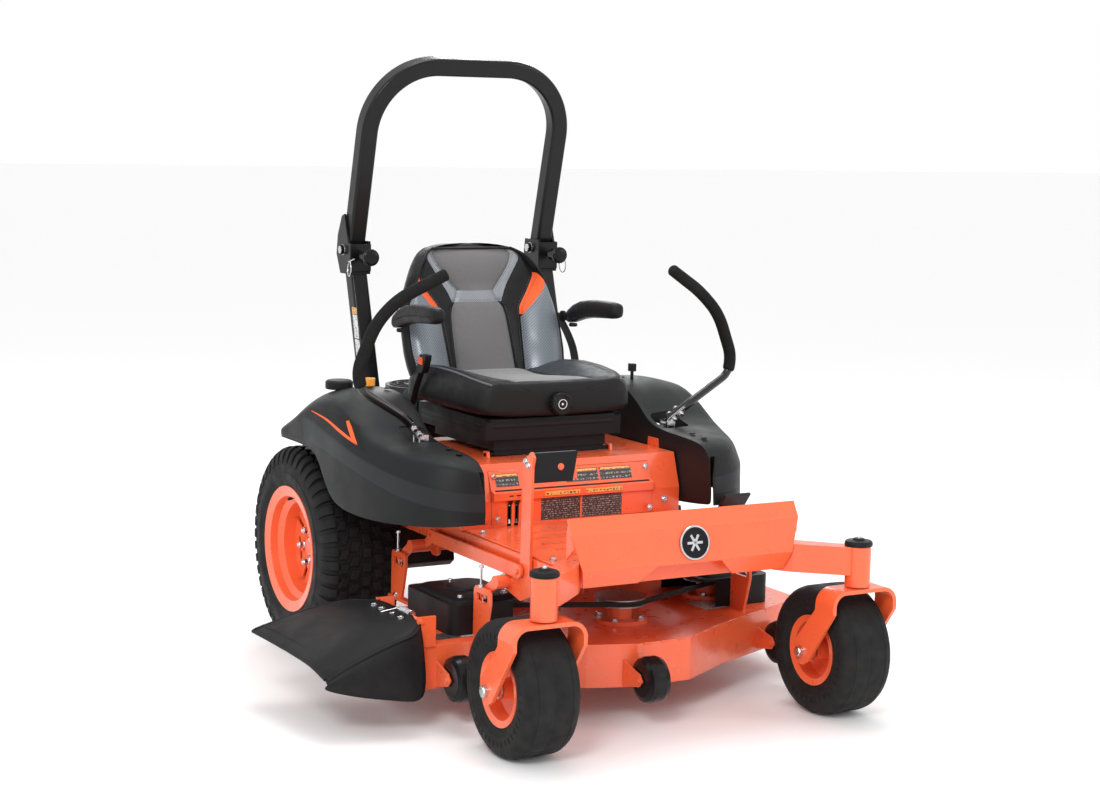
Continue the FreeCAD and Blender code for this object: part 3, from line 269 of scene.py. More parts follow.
def mesh_fabric(name, colour, dots):
    """Perforated two-tone cloth: rows of dark holes on a shiny ground."""
    made = Surface(name, 0.4, 0.25).colour(colour, 0.14, 6).roughness(0.3, 0.5, 25)
    mapping = made.node("ShaderNodeMapping")
    mapping.inputs["Rotation"].default_value = (0, math.radians(45), 0)
    made.link(made.coords, mapping.inputs["Vector"])
    rows = []
    for axis in ("X", "Z"):
        wave = made.node("ShaderNodeTexWave", wave_type="BANDS", bands_direction=axis)
        wave.inputs["Scale"].default_value = dots
        made.link(mapping.outputs["Vector"], wave.inputs["Vector"])
        rows.append(wave.outputs["Fac"])
    holes = made.span(made.product(*rows), 0.0, 1.0, 0.35, 0.65)
    made.paint = made.blend(holes, made.paint, scaled(colour, 0.3))
    made.bump(holes, 0.0007, -0.8)
    return made.set(Sheen_Weight=0.3, Sheen_Roughness=0.3).done()


def suede(name, colour):
    made = Surface(name, 0.8).colour(colour, 0.08, 8).roughness(0.7, 0.92, 120)
    made.bump(made.noise(900, 5), 0.0006, 0.6)
    made.bump(made.noise(25, 4), 0.003, 0.2)
    return made.set(Sheen_Weight=0.35, Sheen_Roughness=0.5).done()


def foam():
    made = Surface("grip_foam", 0.8).colour((0.009, 0.009, 0.009), 0.2, 40).roughness(0.6, 0.85, 60)
    made.bump(made.noise(520, 5), 0.001, 0.8)
    return made.set(Specular_IOR_Level=0.14).done()


def printed(name, ground, ink, lines):
    """Sticker with rows of broken bars in place of words."""
    made = Surface(name, 0.35).colour(ground, 0.04, 12).roughness(0.28, 0.42, 40)
    brick = made.node("ShaderNodeTexBrick", offset=0.37, squash=0.6, squash_frequency=3)
    sizes = {"Scale": 1.0, "Mortar Size": 0.0016, "Mortar Smooth": 0.0, "Brick Width": 0.017,
             "Row Height": lines}
    for key, value in sizes.items():
        brick.inputs[key].default_value = value
    flat = made.node("ShaderNodeCombineXYZ")
    split = made.node("ShaderNodeSeparateXYZ")
    made.link(made.coords, split.inputs[0])
    made.link(split.outputs["X"], flat.inputs["X"])
    along = made.node("ShaderNodeMath", operation="SUBTRACT")
    made.link(split.outputs["Z"], along.inputs[0])
    made.link(split.outputs["Y"], along.inputs[1])
    made.link(along.outputs[0], flat.inputs["Y"])
    made.link(flat.outputs[0], brick.inputs["Vector"])
    broken = made.span(made.noise(210, 1, (1, 1, 1)), 0.0, 1.0, 0.47, 0.53)
    bars = made.span(brick.outputs["Fac"], 1.0, 0.0, 0.0, 1.0)
    made.paint = made.blend(made.product(broken, bars), made.paint, scaled(ink, 1))
    return made.set(Coat_Weight=0.3).done()


MATERIAL = {
    "orange_paint": orange_paint(),
    "black_paint": black_paint("black_paint", 0.34, 0.15),
    "gloss_black_paint": black_paint("gloss_black_paint", 0.18, 0.8),
    "body_plastic": moulded("body_plastic", (0.010, 0.0105, 0.0115), 0.42),
    "band_plastic": moulded("band_plastic", (0.019, 0.020, 0.0225), 0.38),
    "cover_plastic": moulded("cover_plastic", (0.008, 0.008, 0.009), 0.46),
    "chute_rubber": moulded("chute_rubber", (0.006, 0.006, 0.007), 0.44, 500, 0.0009, 0.003),
    "tyre_rubber": tyre_rubber(),
    "grip_foam": foam(),
    "belt_rubber": moulded("belt_rubber", (0.02, 0.02, 0.02), 0.7, 300),
    "plated_steel": metal("plated_steel", (0.62, 0.62, 0.64), 0.2),
    "bare_steel": metal("bare_steel", (0.3, 0.3, 0.31), 0.35, (1, 1, 9), 0.2),
    "seat_vinyl": vinyl("seat_vinyl", (0.0085, 0.0085, 0.0095), 0.38),
    "gloss_plastic_black": moulded("gloss_plastic_black", (0.008, 0.008, 0.009), 0.16, 200, 0.0002),
    "amber_plastic": moulded("amber_plastic", (0.95, 0.36, 0.05), 0.3, 300, 0.0003),
    "engine_casting": metal("engine_casting", (0.045, 0.045, 0.048), 0.42, None, 0.25),
    "muffler_steel": metal("muffler_steel", (0.13, 0.11, 0.1), 0.45, (9, 1, 1), 0.3),
    "grey_suede": suede("grey_suede", (0.135, 0.131, 0.131)),
    "silver_mesh": mesh_fabric("silver_mesh", (0.19, 0.215, 0.245), 58),
    "pale_mesh": mesh_fabric("pale_mesh", (0.28, 0.30, 0.325), 75),
    "slate_vinyl": vinyl("slate_vinyl", (0.045, 0.052, 0.06), 0.4),
    "stitch_grey": moulded("stitch_grey", (0.12, 0.12, 0.125), 0.6, 900, 0.0002),
    "orange_vinyl": vinyl("orange_vinyl", (0.9, 0.12, 0.03), 0.38),
    "warning_print": printed("warning_print", (0.03, 0.026, 0.024), (0.3, 0.27, 0.25), 0.0058),
    "amber_print": printed("amber_print", (0.85, 0.42, 0.1), (0.1, 0.06, 0.03), 0.009),
    "pale_print": printed("pale_print", (0.7, 0.7, 0.68), (0.15, 0.15, 0.15), 0.008),
    "filter_orange": moulded("filter_orange", (0.7, 0.15, 0.03), 0.4, 300, 0.0002),
    "white_ink": moulded("white_ink", (0.75, 0.75, 0.75), 0.4, 300, 0.0001),
}


# ---- shape building -----------------------------------------------------------------
def lerp(a, b, t):
    return a + (b - a) * t


def bend(points, radius, steps=6):
    """Points of a line whose corners are rounded to a radius."""
    points = [Vector(p) for p in points]
    line = [points[0]]
    for before, corner, after in zip(points, points[1:], points[2:]):
        a, b = (before - corner), (after - corner)
        reach = min(radius, 0.48 * a.length, 0.48 * b.length)
        start, end = corner + a.normalized() * reach, corner + b.normalized() * reach
        for i in range(steps + 1):
            t = i / steps
            line.append(start * (1 - t) ** 2 + corner * 2 * t * (1 - t) + end * t ** 2)
    return line + [points[-1]]


def smooth_line(points, steps=6):
    """Catmull-Rom curve through the points."""
    points = [Vector(p) for p in points]
    padded = [points[0] * 2 - points[1]] + points + [points[-1] * 2 - points[-2]]
    line = []
    for a, b, c, d in zip(padded, padded[1:], padded[2:], padded[3:]):
        for i in range(steps):
            t = i / steps
            line.append(0.5 * (b * 2 + (c - a) * t + (a * 2 - b * 5 + c * 4 - d) * t * t
                               + (b * 3 - a - c * 3 + d) * t ** 3))
    return line + [points[-1]]


AXES = {"X": Vector((1, 0, 0)), "Y": Vector((0, 1, 0)), "Z": Vector((0, 0, 1))}


def across(axis):
    """Two directions square to an axis."""
    axis = Vector(axis).normalized()
    other = AXES["Z"] if abs(axis.z) < 0.9 else AXES["X"]
    u = axis.cross(other).normalized()
    return u, axis.cross(u).normalized()


class Shape:
    """Vertices and faces gathered before they become one piece."""

    def __init__(self):
        self.points = []
        self.faces = []
        self.marks = []

    def add(self, points, faces, mark=0):
        start = len(self.points)
        self.points += [Vector(p) for p in points]
        self.faces += [[i + start for i in face] for face in faces]
        self.marks += [mark] * len(faces)
        return self

    def loft(self, rings, closed=True, caps=True, loop=False, mark=0):
        count, rows = len(rings[0]), len(rings)
        faces = []
        for i in range(rows if loop else rows - 1):
            for j in range(count if closed else count - 1):
                k, m = (i + 1) % rows, (j + 1) % count
                faces.append((i * count + j, i * count + m, k * count + m, k * count + j))
        if caps and closed and not loop:
            faces.append(tuple(range(count - 1, -1, -1)))
            faces.append(tuple(range((rows - 1) * count, rows * count)))
        return self.add([p for ring in rings for p in ring], faces, mark)

    def tube(self, points, radius, sides=12, mark=0, flat=1.0, loop=False):
        """Round bar along a line; flat squashes it, and radius may be a list."""
        points = [Vector(p) for p in points]
        rings = []
        u = None
        for i, point in enumerate(points):
            after = points[(i + 1) % len(points)] if loop else points[min(i + 1, len(points) - 1)]
            run = (after - points[i - 1 if loop else max(i - 1, 0)]).normalized()
            if u is None:
                u = across(run)[0]
            u = (u - run * u.dot(run)).normalized()
            v = run.cross(u)
            r = radius[i] if isinstance(radius, list) else radius
            rings.append([point + (u * math.cos(a) + v * math.sin(a) * flat) * r
                          for a in (2 * math.pi * j / sides for j in range(sides))])
        return self.loft(rings, loop=loop, mark=mark)

    def lathe(self, profile, centre, axis="X", steps=64, mark=0):
        """Profile of (along, radius) points turned about an axis through a centre."""
        axis = AXES[axis] if isinstance(axis, str) else Vector(axis).normalized()
        u, v = across(axis)
        centre = Vector(centre)
        rings = []
        for i in range(steps):
            a = 2 * math.pi * i / steps
            out = u * math.cos(a) + v * math.sin(a)
            rings.append([centre + axis * along + out * radius for along, radius in profile])
        return self.loft(rings, loop=True, mark=mark)

    def prism(self, outline, direction, depth, mark=0):
        """Flat outline of 3-D points drawn out along a direction."""
        outline = [Vector(p) for p in outline]
        offset = Vector(direction).normalized() * depth
        return self.loft([outline, [p + offset for p in outline]], mark=mark)

    def block(self, low, high, mark=0):
        (x0, y0, z0), (x1, y1, z1) = low, high
        outline = [(x0, y0, z0), (x1, y0, z0), (x1, y1, z0), (x0, y1, z0)]
        return self.prism(outline, (0, 0, 1), z1 - z0, mark)

    def bolt(self, centre, axis, radius, height=None, mark=0, washer=True):
        """Washer and chamfered six-sided head."""
        axis = Vector(axis).normalized()
        u, v = across(axis)
        centre = Vector(centre)
        height = height or radius * 0.75
        base = radius * 0.22 if washer else 0.0
        if washer:
            self.lathe([(0, 0.0), (0, radius * 1.25), (base, radius * 1.25), (base, 0.0)], centre, axis,
                       20, mark)
        rings = []
        for along, r in ((base, radius), (base + height * 0.85, radius), (base + height, radius * 0.86)):
            rings.append([centre + axis * along + (u * math.cos(a) + v * math.sin(a)) * r
                          for a in (math.pi / 3 * k for k in range(6))])
        return self.loft(rings, mark=mark)

    def mirror(self):
        made = Shape()
        made.points = [Vector((-p.x, p.y, p.z)) for p in self.points]
        made.faces = [face[::-1] for face in self.faces]
        made.marks = list(self.marks)
        return made


def piece(name, shape, body, slot, materials=None, smooth=38, bevel=0.0, segments=2, subdivide=0,
          replaces=()):
    """Turns a Shape into an object in the row frame that rides on a body."""
    mesh = bpy.data.meshes.new(name)
    mesh.from_pydata([p + ORIGIN for p in shape.points], [], shape.faces)
    for material in materials or [slot]:
        mesh.materials.append(MATERIAL[material])
    mesh.polygons.foreach_set("material_index", shape.marks)
    mesh.validate()
    mesh.update()
    made = bpy.data.objects.new(name, mesh)
    bpy.context.scene.collection.objects.link(made)
    tidy_mesh(mesh)
    mesh.polygons.foreach_set("use_smooth", [True] * len(mesh.polygons))
    mesh.set_sharp_from_angle(angle=math.radians(smooth))
    if bevel:
        edge = made.modifiers.new("edge", "BEVEL")
        edge.width = bevel
        edge.segments = segments
        edge.limit_method = "ANGLE"
        edge.angle_limit = math.radians(smooth)
        edge.harden_normals = True
    if subdivide:
        made.modifiers.new("smooth", "SUBSURF").levels = subdivide
        made.modifiers["smooth"].render_levels = subdivide
    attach(made, body)
    if replaces:
        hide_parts(*replaces)
    return made


def tidy_mesh(mesh):
    """Joins doubled points and turns all faces outwards."""
    work = bmesh.new()
    work.from_mesh(mesh)
    bmesh.ops.remove_doubles(work, verts=work.verts, dist=0.00001)
    bmesh.ops.recalc_face_normals(work, faces=work.faces)
    work.to_mesh(mesh)
    work.free()


def add_wall(made, thickness, offset):
    """Gives a skin its thickness."""
    wall = made.modifiers.new("wall", "SOLIDIFY")
    wall.thickness = thickness
    wall.offset = offset


def both(name, make, body, *args, **options):
    """One piece on the mower's left and its mirror image on the right."""
    shape = make()
    swap = options.pop("replaces", ())
    for side, each in (("left", shape), ("right", shape.mirror())):
        nodes = [node + "_" + side for node in swap]
        home = body if body in frame["bodies"] else body + "_" + side
        piece(name + "_" + side, each, home, *args, replaces=nodes, **options)


def sheet(shape, corners, lift, mark=0):
    """Thin printed patch from four corners, standing a hair off the panel it is stuck to."""
    a, b, c, d = (Vector(p) for p in corners)
    up = (b - a).cross(d - a).normalized() * lift
    shape.loft([[a + up, b + up], [d + up, c + up]], closed=False, caps=False, mark=mark)


def circle(centre, radius, count, first="X", second="Z"):
    """Points round a circle, counted from the first axis towards the second."""
    turns = (2 * math.pi * i / count for i in range(count))
    return [Vector(centre) + (AXES[first] * math.cos(a) + AXES[second] * math.sin(a)) * radius for a in turns]


def rounded_plan(centre, half, corner, z):
    """Rectangle with round corners, flat at a height."""
    points = []
    for turn, (sx, sy) in enumerate(((1, 1), (-1, 1), (-1, -1), (1, -1))):
        for i in range(6):
            a = math.radians(90 * turn + 18 * i)
            points.append(Vector((centre[0] + sx * (half[0] - corner) + corner * math.cos(a),
                                  centre[1] + sy * (half[1] - corner) + corner * math.sin(a), z)))
    return points


def search_tree(*meshes):
    """Search tree of (mesh, matrix) pairs, in the mower's frame."""
    corners, faces = [], []
    for mesh, matrix in meshes:
        start = len(corners)
        corners += [matrix @ vertex.co - ORIGIN for vertex in mesh.vertices]
        faces += [[index + start for index in face.vertices] for face in mesh.polygons]
    return BVHTree.FromPolygons(corners, faces)


def node_tree(*names):
    return search_tree(*((NODES[name].data, NODES[name].matrix_world) for name in names))


def front_patch(shape, tree, xs, zs, lift, mark=0, rows=6, columns=6):
    """Printed patch laid on whatever the tree's surface is, seen from the front."""
    grid = []
    for i in range(rows + 1):
        line = []
        for j in range(columns + 1):
            x, z = lerp(xs[0], xs[1], j / columns), lerp(zs[0], zs[1], i / rows)
            hit = tree.ray_cast(Vector((x, -1.5, z)), Vector((0, 1, 0)))
            line.append(hit[0] + hit[1] * lift if hit[0] is not None else Vector((x, -0.6, z)))
        grid.append(line)
    shape.loft(grid, closed=False, caps=False, mark=mark)


# ---- stage --------------------------------------------------------------------------
def make_stage():
    """Wide pale floor, white surroundings and soft lights."""
    mesh = bpy.data.meshes.new("floor")
    reach = 60.0
    cells = 12
    points = [(lerp(-reach, reach, i / cells), lerp(-reach, reach, j / cells), 0.0)
              for j in range(cells + 1) for i in range(cells + 1)]
    row = cells + 1
    mesh.from_pydata(points, [], [(j * row + i, j * row + i + 1, (j + 1) * row + i + 1, (j + 1) * row + i)
                                  for j in range(cells) for i in range(cells)])
    floor = bpy.data.objects.new("floor", mesh)
    bpy.context.scene.collection.objects.link(floor)
    ground = Surface("floor", 0.6).colour((0.955, 0.955, 0.955), 0.008, 0.6)
    mesh.materials.append(ground.done())

    world = bpy.data.worlds.new("studio")
    world.use_nodes = True
    world.node_tree.nodes["Background"].inputs["Color"].default_value = (1, 1, 1, 1)
    world.node_tree.nodes["Background"].inputs["Strength"].default_value = 1.0
    bpy.context.scene.world = world

    lamps = [("key", (-3.4, -4.0, 3.8), 1.6, 120), ("fill", (4.2, -4.4, 2.4), 2.0, 40),
             ("top", (0.2, 0.5, 4.6), 2.2, 60), ("back", (2.6, 4.8, 3.2), 2.0, 60)]
    for name, place, size, watts in lamps:
        data = bpy.data.lights.new(name, "AREA")
        data.shape = "DISK"
        data.size = size
        data.energy = watts
        lamp = bpy.data.objects.new(name, data)
        lamp.location = place
        lamp.rotation_mode = "QUATERNION"
        lamp.rotation_quaternion = (Vector((0.1, 0.0, 0.6)) - Vector(place)).to_track_quat("-Z", "Y")
        bpy.context.scene.collection.objects.link(lamp)


def make_camera():
    """Camera at standing height, ahead of the mower and to its right."""
    azimuth, elevation, roll = (math.radians(a) for a in (-29.2534, 7.4156, 1.1686))
    distance = 5.5991
    target = Vector((-0.0435, -0.5399, 0.7492)) + ORIGIN
    back = Vector((math.sin(azimuth) * math.cos(elevation), -math.cos(azimuth) * math.cos(elevation),
                   math.sin(elevation)))
    right = (-back).cross(Vector((0, 0, 1))).normalized()
    up = right.cross(-back)
    turned_right = right * math.cos(roll) + up * math.sin(roll)
    turned_up = up * math.cos(roll) - right * math.sin(roll)
    data = bpy.data.cameras.new("camera")
    data.lens = 68.797
    data.sensor_width = 36.0
    camera = bpy.data.objects.new("camera", data)
    bpy.context.scene.collection.objects.link(camera)
    camera.matrix_world = Matrix.Translation(target + back * distance) @ Matrix(
        (turned_right, turned_up, back)).transposed().to_4x4()
    bpy.context.scene.camera = camera


def paint_cad_nodes():
    """Gives each CAD node the material of its slot in the record."""
    for part in frame["record"]["subparts"]:
        mesh = NODES[part["node"]].data
        mesh.materials.clear()
        mesh.materials.append(MATERIAL[part["material_slot"]])


make_stage()
make_camera()
paint_cad_nodes()
bpy.context.scene.view_settings.view_transform = "Standard"


# ---- wheels -------------------------------------------------------------------------
REAR = Vector((0.455, 0, 0.288))
CASTER = Vector((0.449, -1.16, 0.165))
LUG_CIRCLE_R = 0.0474345


def sector(shape, outline, centre, start, end, lean=0.0):
    """Cross-section of (x, radius) points swept round the X axis through a small angle."""
    rings = []
    for k in (0, 1):
        a = start + (end - start) * k
        out = Vector((0, math.sin(a), math.cos(a)))
        rings.append([centre + Vector((x + lean * (k - 0.5), 0, 0)) + out * r for x, r in outline])
    shape.loft(rings)


def mirrored_profile(half):
    return half + [(-x, r) for x, r in reversed(half)]


def rear_tyre():
    """Turf tyre: carcass with bead and scuff ribs, and rows of tread blocks."""
    shape = Shape()
    half = [(0.089, 0.150), (0.100, 0.153), (0.106, 0.160), (0.1085, 0.172), (0.1115, 0.174), (0.1135, 0.181),
            (0.1175, 0.196), (0.1195, 0.2), (0.1198, 0.214), (0.1178, 0.2165), (0.1165, 0.232),
            (0.1142, 0.246), (0.107, 0.261), (0.097, 0.271), (0.084, 0.2765), (0.05, 0.2785), (0, 0.279)]
    shape.lathe(half + [(-x, r) for x, r in reversed(half[:-1])], REAR, "X", 96)
    count = 46
    pitch = 2 * math.pi / count
    rows = [(-0.066, 0.024), (-0.034, 0.026), (0.0, 0.026), (0.034, 0.026), (0.066, 0.024)]
    for i in range(count):
        for k, (x, width) in enumerate(rows):
            a = (i + 0.5 * (k % 2)) * pitch
            lean = 0.010 if k < 2 else (-0.010 if k > 2 else 0.0)
            low, high = 0.2765, 0.2875 - 0.0006 * abs(k - 2)
            outline = [(x - width / 2, low), (x - width / 2 + 0.0015, high), (x + width / 2 - 0.0015, high),
                       (x + width / 2, low)]
            sector(shape, outline, REAR, a, a + pitch * 0.66, lean)
        for side in (-1, 1):
            a = (i + 0.25) * pitch
            over = [(0.083, 0.274), (0.084, 0.2865), (0.093, 0.2845), (0.1035, 0.2775), (0.1105, 0.268),
                    (0.1155, 0.2535), (0.1172, 0.239), (0.113, 0.239), (0.106, 0.255)]
            sector(shape, [(x * side, r) for x, r in over], REAR, a, a + pitch * 0.62)
    return shape


def caster_tyre():
    """Smooth tyre with a flat crown, rounded shoulders and faint moulding ribs."""
    half = [(0.050, 0.077), (0.055, 0.0792), (0.0605, 0.0885), (0.0635, 0.0905), (0.0672, 0.097),
            (0.0715, 0.108), (0.0742, 0.1105), (0.0768, 0.122), (0.0758, 0.1245), (0.0752, 0.136),
            (0.0722, 0.148), (0.066, 0.1565), (0.057, 0.1622), (0.0465, 0.1645), (0.0458, 0.1636),
            (0.0446, 0.1636), (0.0438, 0.1646), (0.002, 0.165), (0.0014, 0.1644)]
    shape = Shape().lathe(mirrored_profile(half), CASTER, "X", 80)
    for i in range(40):
        a = 2 * math.pi * i / 40
        for side in (-1, 1):
            rib = [(0.0735, 0.112), (0.0778, 0.122), (0.0765, 0.134), (0.0735, 0.1335)]
            sector(shape, [(x * side, r) for x, r in rib], CASTER, a, a + 0.02)
    return shape


def rear_hub():
    """Five chromed lug nuts, the black centre cap and a valve."""
    shape = Shape()
    for i in range(5):
        a = math.radians(72 * i + 20)
        place = REAR + Vector((0.0472, math.sin(a) * LUG_CIRCLE_R, math.cos(a) * LUG_CIRCLE_R))
        shape.lathe([(0, 0), (0, 0.0125), (0.003, 0.012), (0.005, 0.0105), (0.005, 0)], place, "X", 20, 0)
        shape.bolt(place + Vector((0.005, 0, 0)), (1, 0, 0), 0.0098, 0.012, 0, washer=False)
        shape.lathe([(0.016, 0), (0.016, 0.0075), (0.020, 0.006), (0.0215, 0.0)], place, "X", 16, 0)
    cap = [(0.018, 0), (0.030, 0.029), (0.046, 0.0295), (0.0495, 0.0275), (0.0505, 0.024), (0.0505, 0.0)]
    shape.lathe(cap, REAR, "X", 40, 1)
    base = REAR + Vector((0.086, 0.0, 0.1475))
    shape.tube([base, base + Vector((0.012, 0, -0.004)), base + Vector((0.03, 0, -0.008))], 0.0042, 10, 1)
    return shape


both("turf_tyre", rear_tyre, "rear_wheel", "tyre_rubber", bevel=0.0011, segments=1, smooth=32,
     replaces=["rear_tyre"])
both("caster_tyre_skin", caster_tyre, "caster_wheel", "tyre_rubber", smooth=28, replaces=["caster_tyre"])
both("rear_hub_fittings", rear_hub, "rear_wheel", "plated_steel", ["plated_steel", "cover_plastic"],
     bevel=0.0006, smooth=30)


# ---- fenders ------------------------------------------------------------------------
# Eleven stations from the rear flap round to the inner front corner; one rail per body line.
FENDER_RAILS = {
    "inner_foot": [(.339, .050, .622), (.339, .0, .622), (.339, -.06, .622), (.339, -.20, .590),
                   (.339, -.28, .530), (.339, -.35, .470), (.339, -.45, .456), (.339, -.57, .456),
                   (.339, -.68, .465), (.339, -.735, .472), (.339, -.752, .474)],
    "inner_top": [(.339, .060, .655), (.339, .0, .700), (.339, -.06, .745), (.339, -.18, .755),
                  (.339, -.30, .745), (.339, -.385, .690), (.339, -.44, .645), (.339, -.60, .642),
                  (.339, -.69, .635), (.339, -.72, .618), (.339, -.735, .600)],
    "shoulder": [(.50, .075, .662), (.50, .022, .695), (.49, -.06, .745), (.475, -.16, .765),
                 (.455, -.27, .755), (.45, -.36, .712), (.45, -.44, .660), (.46, -.56, .645),
                 (.44, -.66, .642), (.41, -.715, .624), (.355, -.735, .606)],
    "edge": [(.573, .045, .622), (.573, -.014, .642), (.573, -.107, .693), (.566, -.165, .722),
             (.55, -.275, .742), (.545, -.37, .700), (.535, -.46, .655), (.512, -.57, .632),
             (.468, -.675, .620), (.41, -.728, .610), (.355, -.742, .598)],
    "band_top": [(.575, .043, .614), (.575, -.02, .634), (.575, -.112, .684), (.576, -.203, .668),
                 (.575, -.30, .648), (.572, -.385, .631), (.56, -.468, .611), (.531, -.576, .586),
                 (.487, -.683, .566), (.42, -.742, .554), (.345, -.750, .548)],
    "band_low": [(.576, .040, .608), (.576, -.05, .609), (.576, -.125, .609), (.577, -.205, .611),
                 (.576, -.30, .601), (.572, -.385, .588), (.56, -.468, .569), (.531, -.576, .538),
                 (.487, -.684, .518), (.42, -.748, .508), (.345, -.755, .503)],
    "flange": [(.575, .040, .604), (.575, -.05, .604), (.575, -.125, .604), (.575, -.226, .600),
               (.575, -.268, .550), (.574, -.33, .502), (.562, -.44, .487), (.538, -.555, .481),
               (.490, -.682, .479), (.42, -.753, .479), (.345, -.757, .479)],
    "hem": [(.575, .040, .599), (.575, -.05, .599), (.575, -.125, .599), (.575, -.212, .592),
            (.575, -.260, .525), (.574, -.322, .468), (.562, -.435, .456), (.538, -.552, .455),
            (.490, -.682, .463), (.42, -.755, .471), (.345, -.758, .473)],
}
FENDER_CREASE = {"inner_foot": 1.0, "inner_top": 0.55, "edge": 0.35, "band_top": 0.9, "band_low": 0.9,
                 "flange": 0.7, "hem": 1.0}


def fender_shell():
    shape = Shape()
    names = list(FENDER_RAILS)
    rows = [[Vector(p) for p in FENDER_RAILS[name]] for name in names]
    rows.append([p + Vector((-0.016, 0.0, 0.003)) for p in rows[-1]])
    count = len(rows[0])
    faces, marks = [], []
    for i in range(len(rows) - 1):
        for j in range(count - 1):
            faces.append((i * count + j, i * count + j + 1, (i + 1) * count + j + 1, (i + 1) * count + j))
            marks.append(1 if names[i] == "band_top" and j >= 2 else 0)
    shape.points = [p for row in rows for p in row]
    shape.faces, shape.marks = faces, marks
    return shape


def add_creases(made):
    """Holds the fender's body lines while the rest of its skin is smoothed."""
    mesh = made.data
    layer = mesh.attributes.new("crease_edge", "FLOAT", "EDGE")
    rails = {}
    for name, rail in FENDER_RAILS.items():
        for p in rail:
            rails[(round(abs(p[0]), 4), round(p[1], 4), round(p[2], 4))] = name
    for edge in mesh.edges:
        ends = []
        for index in edge.vertices:
            p = mesh.vertices[index].co - ORIGIN
            ends.append(rails.get((round(abs(p.x), 4), round(p.y, 4), round(p.z, 4))))
        if ends[0] and ends[0] == ends[1]:
            layer.data[edge.index].value = FENDER_CREASE.get(ends[0], 0.0)


LEVER_SLOT, LEVER_SLOT_HALF, LEVER_SLOT_CORNER = (0.3895, -0.4545), (0.0385, 0.0505), 0.016
LEVER_SLOT_HEIGHTS = (0.600, 0.760)


def cut_lever_slot(made, sign):
    """Opens the fender's top where the steering lever and its bracket come through."""
    block = Shape()
    centre = (sign * LEVER_SLOT[0], LEVER_SLOT[1])
    block.loft([rounded_plan(centre, LEVER_SLOT_HALF, LEVER_SLOT_CORNER, z) for z in LEVER_SLOT_HEIGHTS])
    mesh = bpy.data.meshes.new("slot_block")
    mesh.from_pydata([p + ORIGIN for p in block.points], [], block.faces)
    tidy_mesh(mesh)
    cutter = bpy.data.objects.new("slot_block", mesh)
    bpy.context.scene.collection.objects.link(cutter)
    slot = made.modifiers.new("slot", "BOOLEAN")
    slot.operation = "DIFFERENCE"
    slot.object = cutter
    slot.solver = "EXACT"
    bpy.context.view_layer.update()
    whole = made.evaluated_get(bpy.context.evaluated_depsgraph_get())
    cut = bpy.data.meshes.new_from_object(whole)
    made.modifiers.clear()
    made.data = cut
    bpy.data.objects.remove(cutter, do_unlink=True)


def make_fenders():
    shape = fender_shell()
    for side, each in (("left", shape), ("right", shape.mirror())):
        made = piece("fender_skin_" + side, each, "chassis", "body_plastic", ["body_plastic", "band_plastic"],
                     smooth=60, subdivide=3, replaces=["fender_" + side])
        add_creases(made)
        add_wall(made, thickness=0.004, offset=-1.0)
        cut_lever_slot(made, 1 if side == "left" else -1)


make_fenders()


# ---- chute --------------------------------------------------------------------------
# Rows across the deflector from its hinge edge to its outer edge, each from front to rear.
CHUTE_ROWS = [
    [(-.568, -.838, .262), (-.567, -.78, .272), (-.566, -.73, .270), (-.566, -.68, .269),
     (-.568, -.618, .268)],
    [(-.600, -.868, .246), (-.600, -.80, .266), (-.600, -.73, .264), (-.604, -.64, .262),
     (-.618, -.520, .252)],
    [(-.660, -.868, .226), (-.662, -.80, .248), (-.664, -.72, .247), (-.670, -.60, .246),
     (-.690, -.490, .236)],
    [(-.735, -.862, .196), (-.738, -.79, .218), (-.742, -.70, .218), (-.750, -.58, .217),
     (-.770, -.478, .213)],
    [(-.806, -.854, .160), (-.812, -.78, .178), (-.818, -.69, .184), (-.828, -.57, .190),
     (-.840, -.470, .192)],
    [(-.819, -.852, .148), (-.826, -.78, .166), (-.833, -.69, .174), (-.843, -.57, .180),
     (-.853, -.464, .184)],
]
CHUTE_WALL = [(-.585, -.930, .080), (-.650, -.918, .092), (-.735, -.895, .102), (-.806, -.866, .118),
              (-.817, -.858, .124)]


def chute_skin():
    """Sloping moulded deflector whose front edge folds down into a wall."""
    shape = Shape()
    rows = [[Vector(p) for p in row] for row in CHUTE_ROWS]
    foot = [Vector(p) for p in CHUTE_WALL] + [Vector((-.822, -.853, .130))]
    grid = []
    for row, low in zip(rows, foot):
        nose = row[0]
        lip = nose + Vector((0.0, -0.016, -0.012))
        grid.append([low, lerp(low, lip, 0.55) + Vector((0, -0.006, 0)), lip] + smooth_line(row, 3))
    shape.loft(grid, closed=False, caps=False)
    return shape


def chute_ribs():
    """Rounded beads along the deflector's outer, rear and front edges."""
    shape = Shape()
    outer = [Vector(p) + Vector((0.012, 0, 0.004)) for p in CHUTE_ROWS[4]]
    rear = [row[-1] for row in CHUTE_ROWS]
    nose = [Vector(row[0]) + Vector((0.0, -0.010, -0.006)) for row in CHUTE_ROWS]
    for line, steps, radius in ((outer, 6, 0.0045), (CHUTE_ROWS[5], 6, 0.0045), (rear, 4, 0.0040),
                                (nose, 4, 0.0036)):
        shape.tube(smooth_line(line, steps), radius, 8)
    return shape


